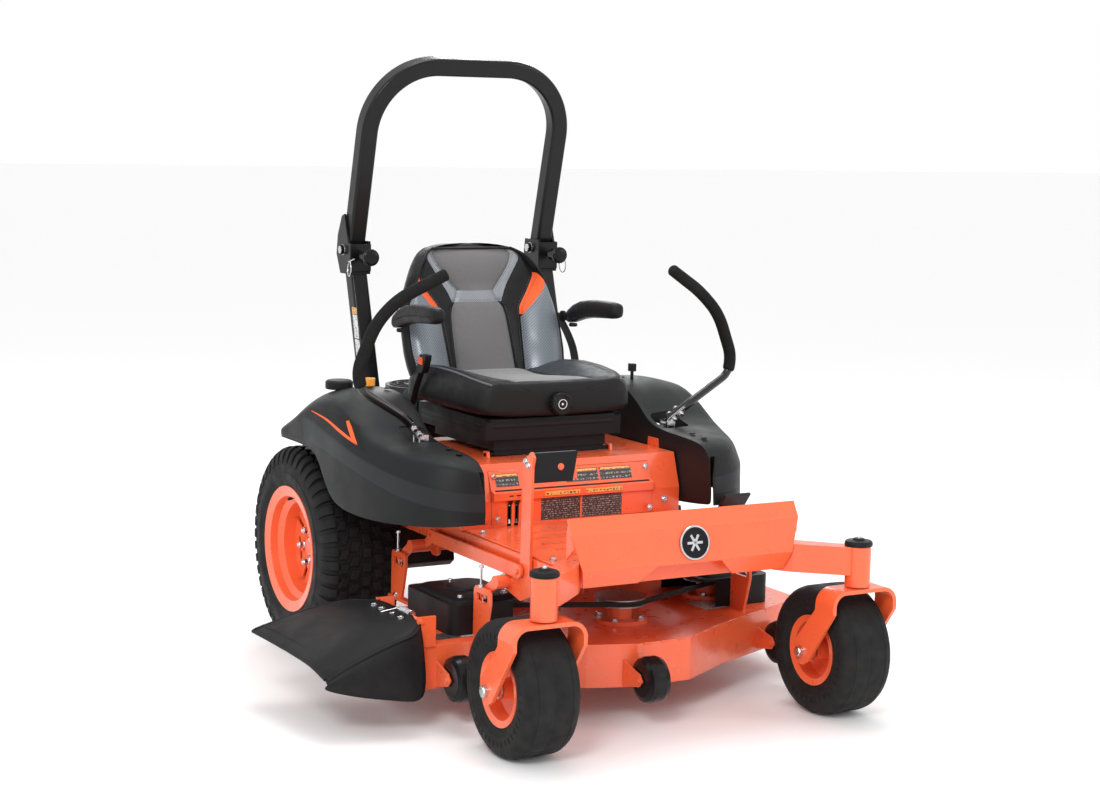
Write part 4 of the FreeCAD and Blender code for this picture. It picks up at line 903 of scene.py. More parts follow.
def chute_hinge():
    """Coil spring round the hinge line and bolts that hold the rubber to the hinge plate."""
    shape = Shape()
    axis_x, axis_z = -0.5655, 0.2655
    coil = []
    turns, radius = 9, 0.0098
    for i in range(turns * 14 + 1):
        a = 2 * math.pi * i / 14
        coil.append(Vector((axis_x + math.cos(a) * radius, -0.795 + 0.055 * i / (turns * 14),
                            axis_z + 0.004 + math.sin(a) * radius)))
    shape.tube(coil, 0.0016, 7)
    shape.tube([coil[-1], coil[-1] + Vector((-0.02, 0.012, 0.004)), Vector((-.615, -.722, .266))], 0.0016, 7)
    for y in (-0.80, -0.755, -0.69, -0.645):
        at = Vector((-.598, y, .2655))
        shape.bolt(at, (-0.3, 0, 1), 0.0075, 0.005)
    return shape


made = piece("chute_rubber_skin", chute_skin(), "chute", "chute_rubber", smooth=50, subdivide=2,
             replaces=["discharge_chute"])
add_wall(made, thickness=0.006, offset=0.0)
piece("chute_ribs", chute_ribs(), "chute", "chute_rubber", smooth=50)
piece("chute_spring", chute_hinge(), "chute", "plated_steel", smooth=40)


# ---- seat ---------------------------------------------------------------------------
# Panel edges of the seat's back as half-widths from its middle, at each height:
# centre, band, black strip, orange flash, silver bolster, outline.
BACK_FOOT, BACK_LEAN = Vector((0, -0.134, 0.794)), 0.357
BACK_EDGES = [
    (0.762, 0.094, 0.0945, 0.118, 0.1185, 0.226, 0.243),
    (0.790, 0.094, 0.0945, 0.119, 0.1195, 0.232, 0.250),
    (0.830, 0.093, 0.0935, 0.121, 0.1215, 0.239, 0.255),
    (0.880, 0.091, 0.0915, 0.124, 0.1245, 0.240, 0.255),
    (0.925, 0.089, 0.0895, 0.127, 0.1275, 0.238, 0.253),
    (0.952, 0.083, 0.0835, 0.129, 0.1520, 0.234, 0.249),
    (0.968, 0.070, 0.0770, 0.139, 0.1680, 0.229, 0.245),
    (1.000, 0.057, 0.0920, 0.162, 0.1960, 0.216, 0.232),
    (1.024, 0.078, 0.1060, 0.176, 0.2080, 0.2085, 0.221),
    (1.047, 0.095, 0.1200, 0.187, 0.1920, 0.1925, 0.210),
    (1.070, 0.112, 0.1350, 0.170, 0.1705, 0.1710, 0.197),
    (1.090, 0.123, 0.1480, 0.158, 0.1585, 0.1590, 0.182),
    (1.107, 0.128, 0.1440, 0.149, 0.1495, 0.1500, 0.165),
    (1.120, 0.108, 0.1180, 0.124, 0.1245, 0.1250, 0.140),
    (1.129, 0.070, 0.0760, 0.080, 0.0805, 0.0810, 0.100),
    (1.133, 0.030, 0.0330, 0.036, 0.0365, 0.0370, 0.050),
]
BAND_LOW, BAND_HIGH = 0.968, 1.000
BACK_HEIGHTS = [(0.762, BAND_LOW, 34), (BAND_LOW, BAND_HIGH, 6), (BAND_HIGH, 1.120, 22), (1.120, 1.133, 5)]
SHELL_SETBACK = 0.045
BACK_COLUMNS = (12, 4, 6, 5, 12, 3)
BACK_MARKS = ["seat_vinyl", "grey_suede", "silver_mesh", "orange_vinyl", "pale_mesh"]


def row_at(rows, key):
    """Interpolated row of a table keyed by its first column."""
    for low, high in zip(rows, rows[1:]):
        if key <= high[0]:
            t = max(0.0, (key - low[0]) / (high[0] - low[0]))
            return [lerp(a, b, t) for a, b in zip(low, high)]
    return list(rows[-1])


def back_front(z):
    """Y of the seat back's foremost plane at a height."""
    return BACK_FOOT.y + BACK_LEAN * (z - BACK_FOOT.z)


def back_thickness(z):
    """Depth of the moulded shell's bulge at a height."""
    return lerp(0.075, 0.045, (z - 0.762) / 0.37)


def back_depth(u, z, row):
    """How far behind the foremost plane the upholstery lies at half-width u."""
    grey, strip, outline = row[1], row[3], row[6]
    top = min(1.0, max(0.0, (z - 1.02) / 0.10))
    dish = 0.050 * (1 - 0.55 * top)
    if u <= grey:
        depth = dish - 0.010 * (1 - (u / max(grey, 0.001)) ** 2)
    elif u <= strip:
        depth = dish - 0.014 * (u - grey) / (strip - grey)
    else:
        t = min(1.0, (u - strip) / max(0.001, outline - strip))
        crown = 0.60
        if t < crown:
            depth = (dish - 0.014) * (1 - math.sin(math.pi / 2 * t / crown))
        else:
            depth = 0.045 * ((t - crown) / (1 - crown)) ** 2.2
    return depth + 0.024 * top ** 3


def groove(u, edges, width=0.0045, depth=0.0055):
    """Dip of the sewn seams at the panel edges."""
    return sum(depth * math.exp(-((u - edge) / width) ** 2) for edge in edges)


def back_mark(zone, z):
    """Which cover a panel zone has at a height."""
    if zone == 0:
        return 4 if BAND_LOW < z < BAND_HIGH else (0 if z > 1.122 else 1)
    if zone == 1:
        return 4 if BAND_LOW < z < 1.112 else 0
    if zone == 3:
        return 3 if 0.930 < z < 1.047 else 0
    if zone == 4:
        return 2 if z < 1.024 else 0
    return 0


def spread(low, high, count):
    return [lerp(low, high, i / count) for i in range(count)]


def seat_back():
    """Padded shell: front panels dished between bolsters, rolled sides and a moulded rear."""
    shape = Shape()
    heights = sum((spread(*span) for span in BACK_HEIGHTS), []) + [BACK_HEIGHTS[-1][1]]
    zones = [zone for zone, count in enumerate(BACK_COLUMNS) for _ in range(count)]
    rings = []
    for z in heights:
        row = row_at(BACK_EDGES, z)
        outline = row[6]
        edges = [0.0] + row[1:]
        half = sum((spread(edges[k], edges[k + 1], count) for k, count in enumerate(BACK_COLUMNS)),
                   []) + [outline]
        close = max(0.0, (z - 1.10) / 0.033)
        seams = [row[1], row[3], row[4]] if z < BAND_LOW else row[1:5]
        front = []
        for u in [-u for u in reversed(half[1:])] + half:
            depth = back_depth(abs(u), z, row) + groove(abs(u), seams[:2], 0.004, 0.005)
            depth += groove(abs(u), seams[2:], 0.003, 0.0025)
            depth += 0.0045 * math.exp(-((z - BAND_LOW) / 0.004) ** 2) * (abs(u) < row[2])
            front.append(Vector((u, back_front(z) + depth + 0.020 * close ** 2, z)))
        rear = []
        thick = back_thickness(z)
        for i in range(1, 24):
            u = lerp(outline, -outline, i / 24)
            bulge = thick * (1 - 0.22 * abs(u / outline) ** 3)
            rear.append(Vector((u, back_front(z) + SHELL_SETBACK + bulge * (1 - 0.6 * close ** 2), z)))
        rings.append(front + rear)
    shape.loft(rings)
    around = zones[::-1] + zones
    count = len(rings[0])
    shape.marks = []
    for low, high in zip(heights, heights[1:]):
        z = (low + high) / 2
        shape.marks += [back_mark(around[j], z) if j < len(around) else 0 for j in range(count)]
    shape.marks += [0, 0]
    return shape


SEAM_INSET = 0.012

# Cushion: half-width and top height from front to rear; the middle is dished between wings.
CENTRE_SEAM, WING_SEAM = 0.120, 0.045
CUSHION_ROWS = [
    # y, half width, middle top, wing top, underside
    (-0.514, 0.180, 0.764, 0.768, 0.716),
    (-0.511, 0.199, 0.779, 0.783, 0.706),
    (-0.503, 0.215, 0.790, 0.794, 0.700),
    (-0.484, 0.230, 0.796, 0.800, 0.699),
    (-0.430, 0.243, 0.794, 0.808, 0.699),
    (-0.340, 0.248, 0.784, 0.816, 0.699),
    (-0.240, 0.250, 0.776, 0.818, 0.699),
    (-0.160, 0.250, 0.774, 0.812, 0.699),
    (-0.105, 0.246, 0.778, 0.802, 0.699),
    (-0.068, 0.236, 0.780, 0.790, 0.702),
]


def cushion_mark(u, y, half):
    """Grey centre, slate thigh panels, black wings."""
    if u < 0.118 and -0.484 < y:
        return 1
    if 0.122 < u < half - 0.048 and -0.470 < y < -0.12:
        return 2
    return 0


def seat_cushion():
    shape = Shape()
    columns = 56
    ys = spread(-0.513, -0.495, 6) + spread(-0.495, -0.068, 42) + [-0.068]
    rings = []
    for y in ys:
        _, half, middle_top, wing_top, foot = row_at(CUSHION_ROWS, y)
        ring = []
        for i in range(columns + 1):
            u = lerp(-half, half, i / columns)
            t = abs(u) / half
            rise = lerp(middle_top, wing_top, max(0.0, (t - 0.42) / 0.4) ** 1.6 if t < 0.82 else 1.0)
            roll = 0.026 * (max(0.0, t - 0.80) / 0.20) ** 2.4
            dip = groove(abs(u), (CENTRE_SEAM,), 0.005, 0.006) if y > -0.485 else 0.0
            dip += groove(abs(u), (half - WING_SEAM,), 0.005, 0.006) if y > -0.475 else 0.0
            ring.append(Vector((u, y, rise - roll - dip)))
        edge = ring[-1].z
        for side, drop in ((0.004, 0.35), (0.005, 0.7), (-0.002, 1.0)):
            ring.append(Vector((half + side, y, lerp(edge, foot, drop))))
        for side, drop in ((-0.002, 1.0), (0.005, 0.7), (0.004, 0.35)):
            ring.append(Vector((-half - side, y, lerp(edge, foot, drop))))
        rings.append(ring)
    count = len(rings[0])
    shape.loft(rings)
    shape.marks = []
    for i in range(len(rings) - 1):
        for j in range(count):
            u = abs(rings[i][j].x + rings[i][(j + 1) % count].x) / 2
            y = (ys[i] + ys[i + 1]) / 2
            half = row_at(CUSHION_ROWS, y)[1]
            shape.marks.append(cushion_mark(u, y, half) if j < columns else 0)
    shape.marks += [0, 0]
    return shape


CLOTH_PRESSURE, CLOTH_STIFFNESS, CLOTH_FRAMES, CLOTH_LIMIT = 4.0, 18, 20, 0.006


def plump(made, seams):
    """Lets the cover swell a little between its seams under cloth pressure, then bakes it."""
    group = made.vertex_groups.new(name="pins")
    for vertex in made.data.vertices:
        if seams(vertex.co - ORIGIN):
            group.add([vertex.index], 1.0, "REPLACE")
    rest = [vertex.co.copy() for vertex in made.data.vertices]
    cloth = made.modifiers.new("cloth", "CLOTH")
    settings = cloth.settings
    settings.quality = 6
    settings.mass = 0.25
    settings.tension_stiffness = CLOTH_STIFFNESS
    settings.compression_stiffness = CLOTH_STIFFNESS
    settings.bending_stiffness = 1.2
    settings.use_pressure = True
    settings.uniform_pressure_force = CLOTH_PRESSURE
    settings.effector_weights.gravity = 0.0
    settings.vertex_group_mass = "pins"
    cloth.collision_settings.use_collision = False
    cloth.point_cache.frame_start = 1
    cloth.point_cache.frame_end = CLOTH_FRAMES
    scene = bpy.context.scene
    scene.frame_start, scene.frame_end = 1, CLOTH_FRAMES
    for number in range(1, CLOTH_FRAMES + 1):
        scene.frame_set(number)
    graph = bpy.context.evaluated_depsgraph_get()
    moved = made.evaluated_get(graph).to_mesh()
    shifts = [vertex.co - home for vertex, home in zip(moved.vertices, rest)]
    made.evaluated_get(graph).to_mesh_clear()
    made.modifiers.remove(cloth)
    scene.frame_set(1)
    for vertex, shift in zip(made.data.vertices, shifts):
        size = shift.length
        vertex.co += shift * (min(size, CLOTH_LIMIT) / size if size > 0 else 0.0)
    made.data.update()


def back_seams(p):
    """Pinned points of the back: seams, the rear shell and the rim."""
    row = row_at(BACK_EDGES, p.z)
    u = abs(p.x)
    on_seam = any(abs(u - edge) < 0.004 for edge in row[1:5]) or u > row[6] - SEAM_INSET
    across_seam = any(abs(p.z - seam) < 0.004 for seam in (BAND_LOW, BAND_HIGH))
    return on_seam or across_seam or p.z < 0.80 or p.z > 1.115 or p.y > back_front(p.z) + 0.085


def cushion_seams(p):
    half = row_at(CUSHION_ROWS, p.y)[1]
    u = abs(p.x)
    on_seam = abs(u - CENTRE_SEAM) < 0.006 or abs(u - half + WING_SEAM) < 0.006
    return on_seam or p.y < -0.495 or p.y > -0.08 or p.z < 0.735 or u > half - 0.004


def surface_line(tree, points, lift=0.0):
    """Points dropped onto a skin along the direction given with each."""
    line = []
    for start, direction in points:
        hit, normal, _, _ = tree.ray_cast(Vector(start), Vector(direction))
        if hit is not None:
            line.append(hit + normal * lift)
    return line


def skin_tree(made):
    """Search tree of a piece's own mesh."""
    return search_tree((made.data, Matrix()))


def back_trim(tree):
    """Piping round the outline."""
    shape = Shape()
    edge = [(row_at(BACK_EDGES, z)[6] - SEAM_INSET, z) for z in spread(0.80, 1.120, 60) + [1.120]]
    loop = edge + [(-u, z) for u, z in reversed(edge)]
    line = surface_line(tree, [((u, -0.4, z), (0, 1, 0)) for u, z in loop], 0.0005)
    shape.tube(line, 0.0034, 8, 0)
    return shape


STITCH_PITCH, STITCH_R = 0.0075, 0.0006


def stitches(shape, tree, columns, start, end, offset, direction):
    """Rows of small raised threads beside seams. columns(t) gives the seam's half-width."""
    count = int((end - start) / STITCH_PITCH)
    for side in (-1, 1):
        for away in (-offset, offset):
            for i in range(count):
                a = start + STITCH_PITCH * i
                pair = [direction((columns(t) + away) * side, t) for t in (a, a + STITCH_PITCH * 0.6)]
                line = surface_line(tree, pair, 0.0006)
                if len(line) == 2:
                    middle_point = (line[0] + line[1]) / 2 + Vector((0, 0, 0.0002))
                    shape.tube([line[0], middle_point, line[1]], STITCH_R, 5)


def back_shell():
    """Moulded panel behind the seat back: raised frame, two ribs and four bolts."""
    shape = Shape()
    rear = lambda z: back_front(z) + SHELL_SETBACK + back_thickness(z)
    loop = ((0.15, 0.82), (0.19, 0.90), (0.175, 0.99), (0.12, 1.06), (0, 1.075))
    line = smooth_line([(u, rear(z) - 0.002 - 0.012 * (u / 0.24) ** 3, z) for u, z in loop], 6)
    whole = line + [Vector((-p.x, p.y, p.z)) for p in reversed(line[:-1])]
    shape.tube(whole, 0.0050, 8, 0)
    for x in (-0.055, 0.055):
        shape.tube(smooth_line([(x, rear(z) - 0.0015, z) for z in (0.82, 0.90, 0.98, 1.04)], 6), 0.0045, 8, 0)
    for x in (-0.11, 0.11):
        for z in (0.84, 0.96):
            shape.bolt((x, rear(z) - 0.002, z), (0, 1, 0.0), 0.0075, 0.005, 1)
    return shape


def make_seat():
    back = piece("seat_back_cover", seat_back(), "seat", "seat_vinyl", BACK_MARKS, smooth=70,
                 replaces=["seat_backrest"])
    cushion = piece("seat_cushion_cover", seat_cushion(), "seat", "seat_vinyl",
                    ["seat_vinyl", "grey_suede", "slate_vinyl"], smooth=70, replaces=["seat_cushion"])
    plump(back, back_seams)
    plump(cushion, cushion_seams)
    for made in (back, cushion):
        made.modifiers.new("smooth", "SUBSURF").levels = 1
        made.modifiers["smooth"].render_levels = 1
    piece("seat_back_shell", back_shell(), "seat", "cover_plastic", ["cover_plastic", "plated_steel"],
          smooth=50)
    tree = skin_tree(back)
    piece("seat_back_piping", back_trim(tree), "seat", "seat_vinyl", smooth=60)
    facing = lambda u, z: ((u, -0.4, z), (0, 1, 0))
    down = lambda u, y: ((u, y, 0.9), (0, 0, -1))
    sewn = Shape()
    for edge, start, end, offset in ((1, 0.80, 0.965, 0.006), (3, 0.80, 1.04, 0.006),
                                     (1, 1.003, 1.11, 0.005)):
        stitches(sewn, tree, lambda z: row_at(BACK_EDGES, z)[edge], start, end, offset, facing)
    seat_tree = skin_tree(cushion)
    stitches(sewn, seat_tree, lambda y: CENTRE_SEAM, -0.47, -0.14, 0.006, down)
    stitches(sewn, seat_tree, lambda y: row_at(CUSHION_ROWS, y)[1] - WING_SEAM, -0.46, -0.14, 0.006, down)
    piece("seat_stitches", sewn, "seat", "seat_vinyl", ["stitch_grey"], smooth=60)
    piping = Shape()
    rim_ys = spread(-0.50, -0.09, 40) + [-0.09]
    for side in (-1, 1):
        rim = [down((row_at(CUSHION_ROWS, y)[1] - 0.020) * side, y) for y in rim_ys]
        line = surface_line(seat_tree, rim, 0.0005)
        piping.tube(line, 0.0032, 8)
    piece("seat_wing_piping", piping, "seat", "seat_vinyl", ["stitch_grey"], smooth=60)


make_seat()


# ---- rollover bar fittings ------------------------------------------------------------
KNOB_X, KNOB_Z = 0.305, 1.094


def knob():
    """Round black hand knob with a stepped, knurled rim on its front."""
    shape = Shape()
    centre = Vector((KNOB_X, 0.060, KNOB_Z))
    profile = [(0, 0), (0, 0.013), (0.004, 0.0165), (0.008, 0.0205), (0.010, 0.0235), (0.021, 0.0235),
               (0.0235, 0.021), (0.025, 0.014), (0.0242, 0.0)]
    shape.lathe([(-a, r) for a, r in profile], centre, "Y", 48)
    for at in circle(centre + Vector((0, -0.0105, 0)), 0.0235, 24):
        shape.tube([at, at + Vector((0, -0.0098, 0))], 0.0013, 6)
    return shape


def pivot_fittings():
    """Bolts, nuts, pull ring and its lanyard at a rollover bar joint, seen from both sides."""
    shape = Shape()
    pivot = Vector((KNOB_X, 0.166, 1.110))
    shape.bolt(pivot + Vector((0.0320, 0, 0)), (1, 0, 0), 0.0125, 0.009)
    shape.bolt(pivot + Vector((-0.0320, 0, 0)), (-1, 0, 0), 0.0125, 0.011)
    ring = []
    centre = Vector((KNOB_X + 0.040, 0.098, 1.060))
    for i in range(26):
        a = math.radians(70 + 330 * i / 25)
        ring.append(centre + Vector((0.004 * math.sin(a * 0.5), math.cos(a) * 0.016, math.sin(a) * 0.021)))
    shape.tube(ring, 0.0019, 8)
    shape.tube([centre + Vector((-0.014, 0, 0.027)), centre + Vector((-0.004, 0, 0.0225)),
                centre + Vector((0.002, 0.002, 0.019))], 0.0019, 8)
    return shape


both("rops_hand_knob", knob, "rops_knob", "gloss_plastic_black", bevel=0.0006, smooth=35)
both("rops_pivot_fittings", pivot_fittings, "chassis", "plated_steel", bevel=0.0006, smooth=35)


# ---- casters --------------------------------------------------------------------------
def caster_cap():
    """Moulded dust cap with a stepped edge."""
    top = Vector((CASTER.x, -1.255, 0.4490))
    shape = Shape()
    dome = [(0, 0), (0, 0.0352), (0.0074, 0.0352), (0.0095, 0.0343), (0.0124, 0.0318), (0.0140, 0.0152),
            (0.0182, 0.0134), (0.0184, 0.0)]
    shape.lathe(dome, top, "Z", 48, 0)
    shape.lathe([(0.018, 0), (0.018, 0.0058), (0.0225, 0.0050), (0.0240, 0.0026), (0.0242, 0)], top, "Z",
                16, 1)
    return shape


def hub_faces():
    """Bearing seals, wheel bolt heads and a grease nipple in a caster's dish."""
    shape = Shape()
    for side in (-1, 1):
        profile = [(0.0605, 0.0175), (0.0605, 0.0235), (0.0655, 0.0230), (0.0700, 0.0215), (0.0705, 0.0175)]
        shape.lathe([(side * x, r) for x, r in profile], CASTER, "X", 36, 0)
        shape.bolt(CASTER + Vector((side * 0.0985, 0, 0)), (side, 0, 0), 0.0120, 0.0085, 0)
    nipple = CASTER + Vector((0.012, 0.0, 0.0295))
    shape.lathe([(0, 0), (0, 0.0035), (0.004, 0.0032), (0.006, 0.0022), (0.009, 0.003), (0.011, 0.0)],
                nipple, "Z", 12, 0)
    return shape


# ---- seat fittings --------------------------------------------------------------------
def seat_knob_cap():
    """Glossy weight dial: fluted rim, dished face and a raised ring."""
    shape = Shape()
    centre = Vector((0, -0.5085, 0.735))
    profile = [(0, 0), (0, 0.0290), (0.004, 0.0312), (0.018, 0.0315), (0.0235, 0.0298), (0.0260, 0.0262),
               (0.0248, 0.0195), (0.0238, 0.0)]
    shape.lathe([(-a, r) for a, r in profile], centre, "Y", 60, 0)
    for at in circle(centre + Vector((0, -0.005, 0)), 0.0313, 18):
        shape.tube([at, at + Vector((0, -0.013, 0))], 0.0018, 6)
    shape.tube(circle(centre + Vector((0, -0.0248, 0)), 0.0125, 32), 0.0011, 6, 1, loop=True)
    shape.lathe([(-0.0235, 0.0), (-0.0235, 0.0032), (-0.0254, 0.0028), (-0.0256, 0.0)], centre, "Y", 16, 1)
    return shape


def seat_skirt():
    """Rubber sleeve with shallow folds round the seat's suspension, under the cushion."""
    shape = Shape()
    rings = []
    x0, x1, y1 = -0.206, 0.206, -0.078
    radius = 0.03
    heights = 15
    for i in range(heights):
        z = lerp(0.641, 0.6965, i / (heights - 1))
        y0 = lerp(-0.462, -0.488, min(1.0, (z - 0.641) / 0.030))
        out = 0.0012 * math.sin(math.pi * i * 0.5) + 0.003 * math.sin(math.pi * i / (heights - 1))
        ring = []
        for cx, cy, start in ((x1 - radius, y1 - radius, 0), (x0 + radius, y1 - radius, 90),
                              (x0 + radius, y0 + radius, 180), (x1 - radius, y0 + radius, 270)):
            for k in range(7):
                a = math.radians(start + 15 * k)
                ring.append(Vector((cx + math.cos(a) * (radius + out), cy + math.sin(a) * (radius + out), z)))
        rings.append(ring)
    shape.loft(rings)
    return shape


def seat_hardware():
    """Belt buckle and stalk on the right, belt reel and its tongue on the left, slide lever."""
    shape = Shape()
    stalk = bend([(-.262, -.150, .700), (-.268, -.190, .760), (-.266, -.215, .800)], 0.03)
    shape.tube(stalk, 0.009, 10, 0, 0.45)
    low = Vector((-.266, -.215, .795))
    rings = []
    for t, w in ((0, 0.016), (0.008, 0.020), (0.045, 0.0205), (0.056, 0.018), (0.058, 0.013)):
        at = low + Vector((0, -0.42, 0.9)) * t
        corners = ((-0.018, -w), (0.018, -w), (0.018, w), (-0.018, w))
        rings.append([at + Vector((x * 0.55, y, 0)) for x, y in corners])
    shape.loft(rings, mark=0)
    top = low + Vector((-0.0105, -0.42 * 0.030, 0.9 * 0.038))
    shape.block(top + Vector((-0.002, -0.013, -0.010)), top + Vector((0.0005, 0.013, 0.010)), 1)
    reel = Vector((.262, -.135, .730))
    shape.block(reel + Vector((-.012, -.035, -.035)), reel + Vector((.014, .035, .045)), 0)
    strap = smooth_line([(.268, -.135, .775), (.272, -.10, .84), (.262, -.06, .90), (.256, -.02, .93)], 8)
    belt = []
    for p in strap:
        edges = ((0, -0.021, 0.004), (0.002, -0.021, 0.004), (0.002, 0.021, -0.004), (0, 0.021, -0.004))
        belt.append([p + Vector(edge) for edge in edges])
    shape.loft(belt, mark=0)
    return shape


piece("seat_dial", seat_knob_cap(), "seat_knob", "gloss_plastic_black", ["gloss_plastic_black", "white_ink"],
      bevel=0.0006, smooth=35, replaces=["seat_knob"])
piece("seat_sleeve", seat_skirt(), "seat_base", "black_paint", ["cover_plastic"], smooth=60)
piece("seat_belt_parts", seat_hardware(), "seat", "seat_vinyl", ["cover_plastic", "orange_vinyl"],
      bevel=0.0015, smooth=40)
both("caster_dust_cap", caster_cap, "caster", "cover_plastic", ["cover_plastic", "plated_steel"],
     bevel=0.0006, smooth=35)
both("caster_hub_faces", hub_faces, "caster_wheel", "plated_steel", bevel=0.0006, smooth=35)


# ---- armrests and levers --------------------------------------------------------------
LEVER_PATH = [(0.388, -0.455, 0.664), (0.440, -0.478, 0.713), (0.566, -0.478, 0.790), (0.574, -0.477, 0.842),
              (0.528, -0.479, 0.959), (0.465, -0.480, 1.022), (0.347, -0.518, 1.087)]
ROD_R, FOAM_R = 0.0115, 0.0168
ARMREST_X = 0.279


def armrest():
    """Padded armrest: rounded tapering pad over a bracket, with a seam and its pivot boss."""
    shape = Shape()
    stations = [  # y, bottom, top, half width
        (-0.352, 0.958, 0.966, 0.006), (-0.350, 0.949, 0.975, 0.013), (-0.343, 0.942, 0.981, 0.018),
        (-0.325, 0.938, 0.984, 0.0215), (-0.270, 0.935, 0.985, 0.0228), (-0.200, 0.930, 0.982, 0.0228),
        (-0.150, 0.921, 0.975, 0.0215), (-0.110, 0.910, 0.962, 0.0195), (-0.078, 0.906, 0.945, 0.0160),
        (-0.062, 0.910, 0.934, 0.0100), (-0.058, 0.918, 0.926, 0.0040)]
    rings = []
    for y, low, high, half in stations:
        centre, tall = (low + high) / 2, (high - low) / 2
        ring = []
        for i in range(24):
            a = 2 * math.pi * i / 24
            c, d = math.cos(a), math.sin(a)
            ring.append(Vector((ARMREST_X + math.copysign(abs(c) ** 0.62, c) * half, y,
                                centre + math.copysign(abs(d) ** 0.72, d) * tall)))
        rings.append(ring)
    shape.loft(rings)
    seam = [Vector((ARMREST_X + 0.0232, y, (low + high) / 2 - 0.004)) for y, low, high, half in stations[3:8]]
    shape.tube(seam, 0.0014, 6)
    profile = [(0, 0), (0, 0.0155), (0.004, 0.0158), (0.009, 0.0155), (0.0100, 0.013), (0.0100, 0)]
    shape.lathe([(0.2515 - 0.262 + a, r) for a, r in profile], (0.262, -0.072, 0.925), "X", 32)
    return shape


def armrest_adjuster():
    """Black thumbwheel and stop under the armrest's rear."""
    shape = Shape()
    at = Vector((0.276, -0.098, 0.9065))
    profile = [(0, 0), (0, 0.0105), (0.002, 0.0115), (0.009, 0.0115), (0.0105, 0.010), (0.0105, 0)]
    shape.lathe([(-a, r) for a, r in profile], at, "Z", 28)
    for edge in circle(at + Vector((0, 0, -0.0022)), 0.0114, 14, "X", "Y"):
        shape.tube([edge, edge + Vector((0, 0, -0.0062))], 0.0010, 5)
    return shape


def lever_hardware():
    """Clamp plate with two bolts and washers at the foot of a steering lever."""
    shape = Shape()
    foot, neck = Vector(LEVER_PATH[0]), Vector(LEVER_PATH[1])
    along = (neck - foot).normalized()
    up = Vector((0, -0.42, 0.9)).normalized()
    side = along.cross(up).normalized()
    for t in (0.010, 0.034):
        at = foot + along * t + side * 0.0118
        shape.bolt(at, side, 0.0078, 0.006)
        shape.bolt(foot + along * t - side * 0.0118, -side, 0.0078, 0.008)
    plate = []
    for t, w in ((-0.006, 0.010), (0.0, 0.0140), (0.044, 0.0140), (0.050, 0.010)):
        plate.append((foot + along * t, w))
    outline = [at + up * w + side * 0.0098 for at, w in plate]
    outline += [at - up * w + side * 0.0098 for at, w in reversed(plate)]
    shape.prism(outline, side, 0.0022)
    return shape


both("armrest_pad", armrest, "armrest", "seat_vinyl", smooth=60, replaces=["armrest"])
both("armrest_wheel", armrest_adjuster, "armrest", "gloss_plastic_black", smooth=40)
both("lever_clamp", lever_hardware, "lever", "plated_steel", bevel=0.0006, smooth=35)


# ---- engine ---------------------------------------------------------------------------
def engine_fins():
    """Cooling fins of the two cylinders and their valve covers."""
    shape = Shape()
    for side in (-1, 1):
        for i in range(9):
            x = side * (0.132 + 0.0095 * i)
            grow = 0.004 if i < 7 else 0.0
            low = Vector((min(x, x + side * 0.003), 0.246 - grow, 0.458 - grow))
            high = Vector((max(x, x + side * 0.003), 0.404 + grow, 0.5515))
            shape.block(low, high, 0)
        outer = side * 0.2255
        cover = [(outer, 0.258, 0.468), (outer, 0.392, 0.468), (outer, 0.398, 0.476), (outer, 0.398, 0.534),
                 (outer, 0.392, 0.542), (outer, 0.258, 0.542), (outer, 0.252, 0.534), (outer, 0.252, 0.476)]
        shape.prism(cover, (side, 0, 0), 0.006, 0)
        for y in (0.266, 0.384):
            for z in (0.476, 0.533):
                shape.bolt((outer + side * 0.006, y, z), (side, 0, 0), 0.0055, 0.004, 1)
    for x in (-0.118, 0.118):
        for y in (0.204, 0.412):
            shape.bolt((x, y, 0.4385), (0, 0, 1), 0.0075, 0.006, 1)
    return shape


SCREEN = Vector((0, 0.320, 0.6905))


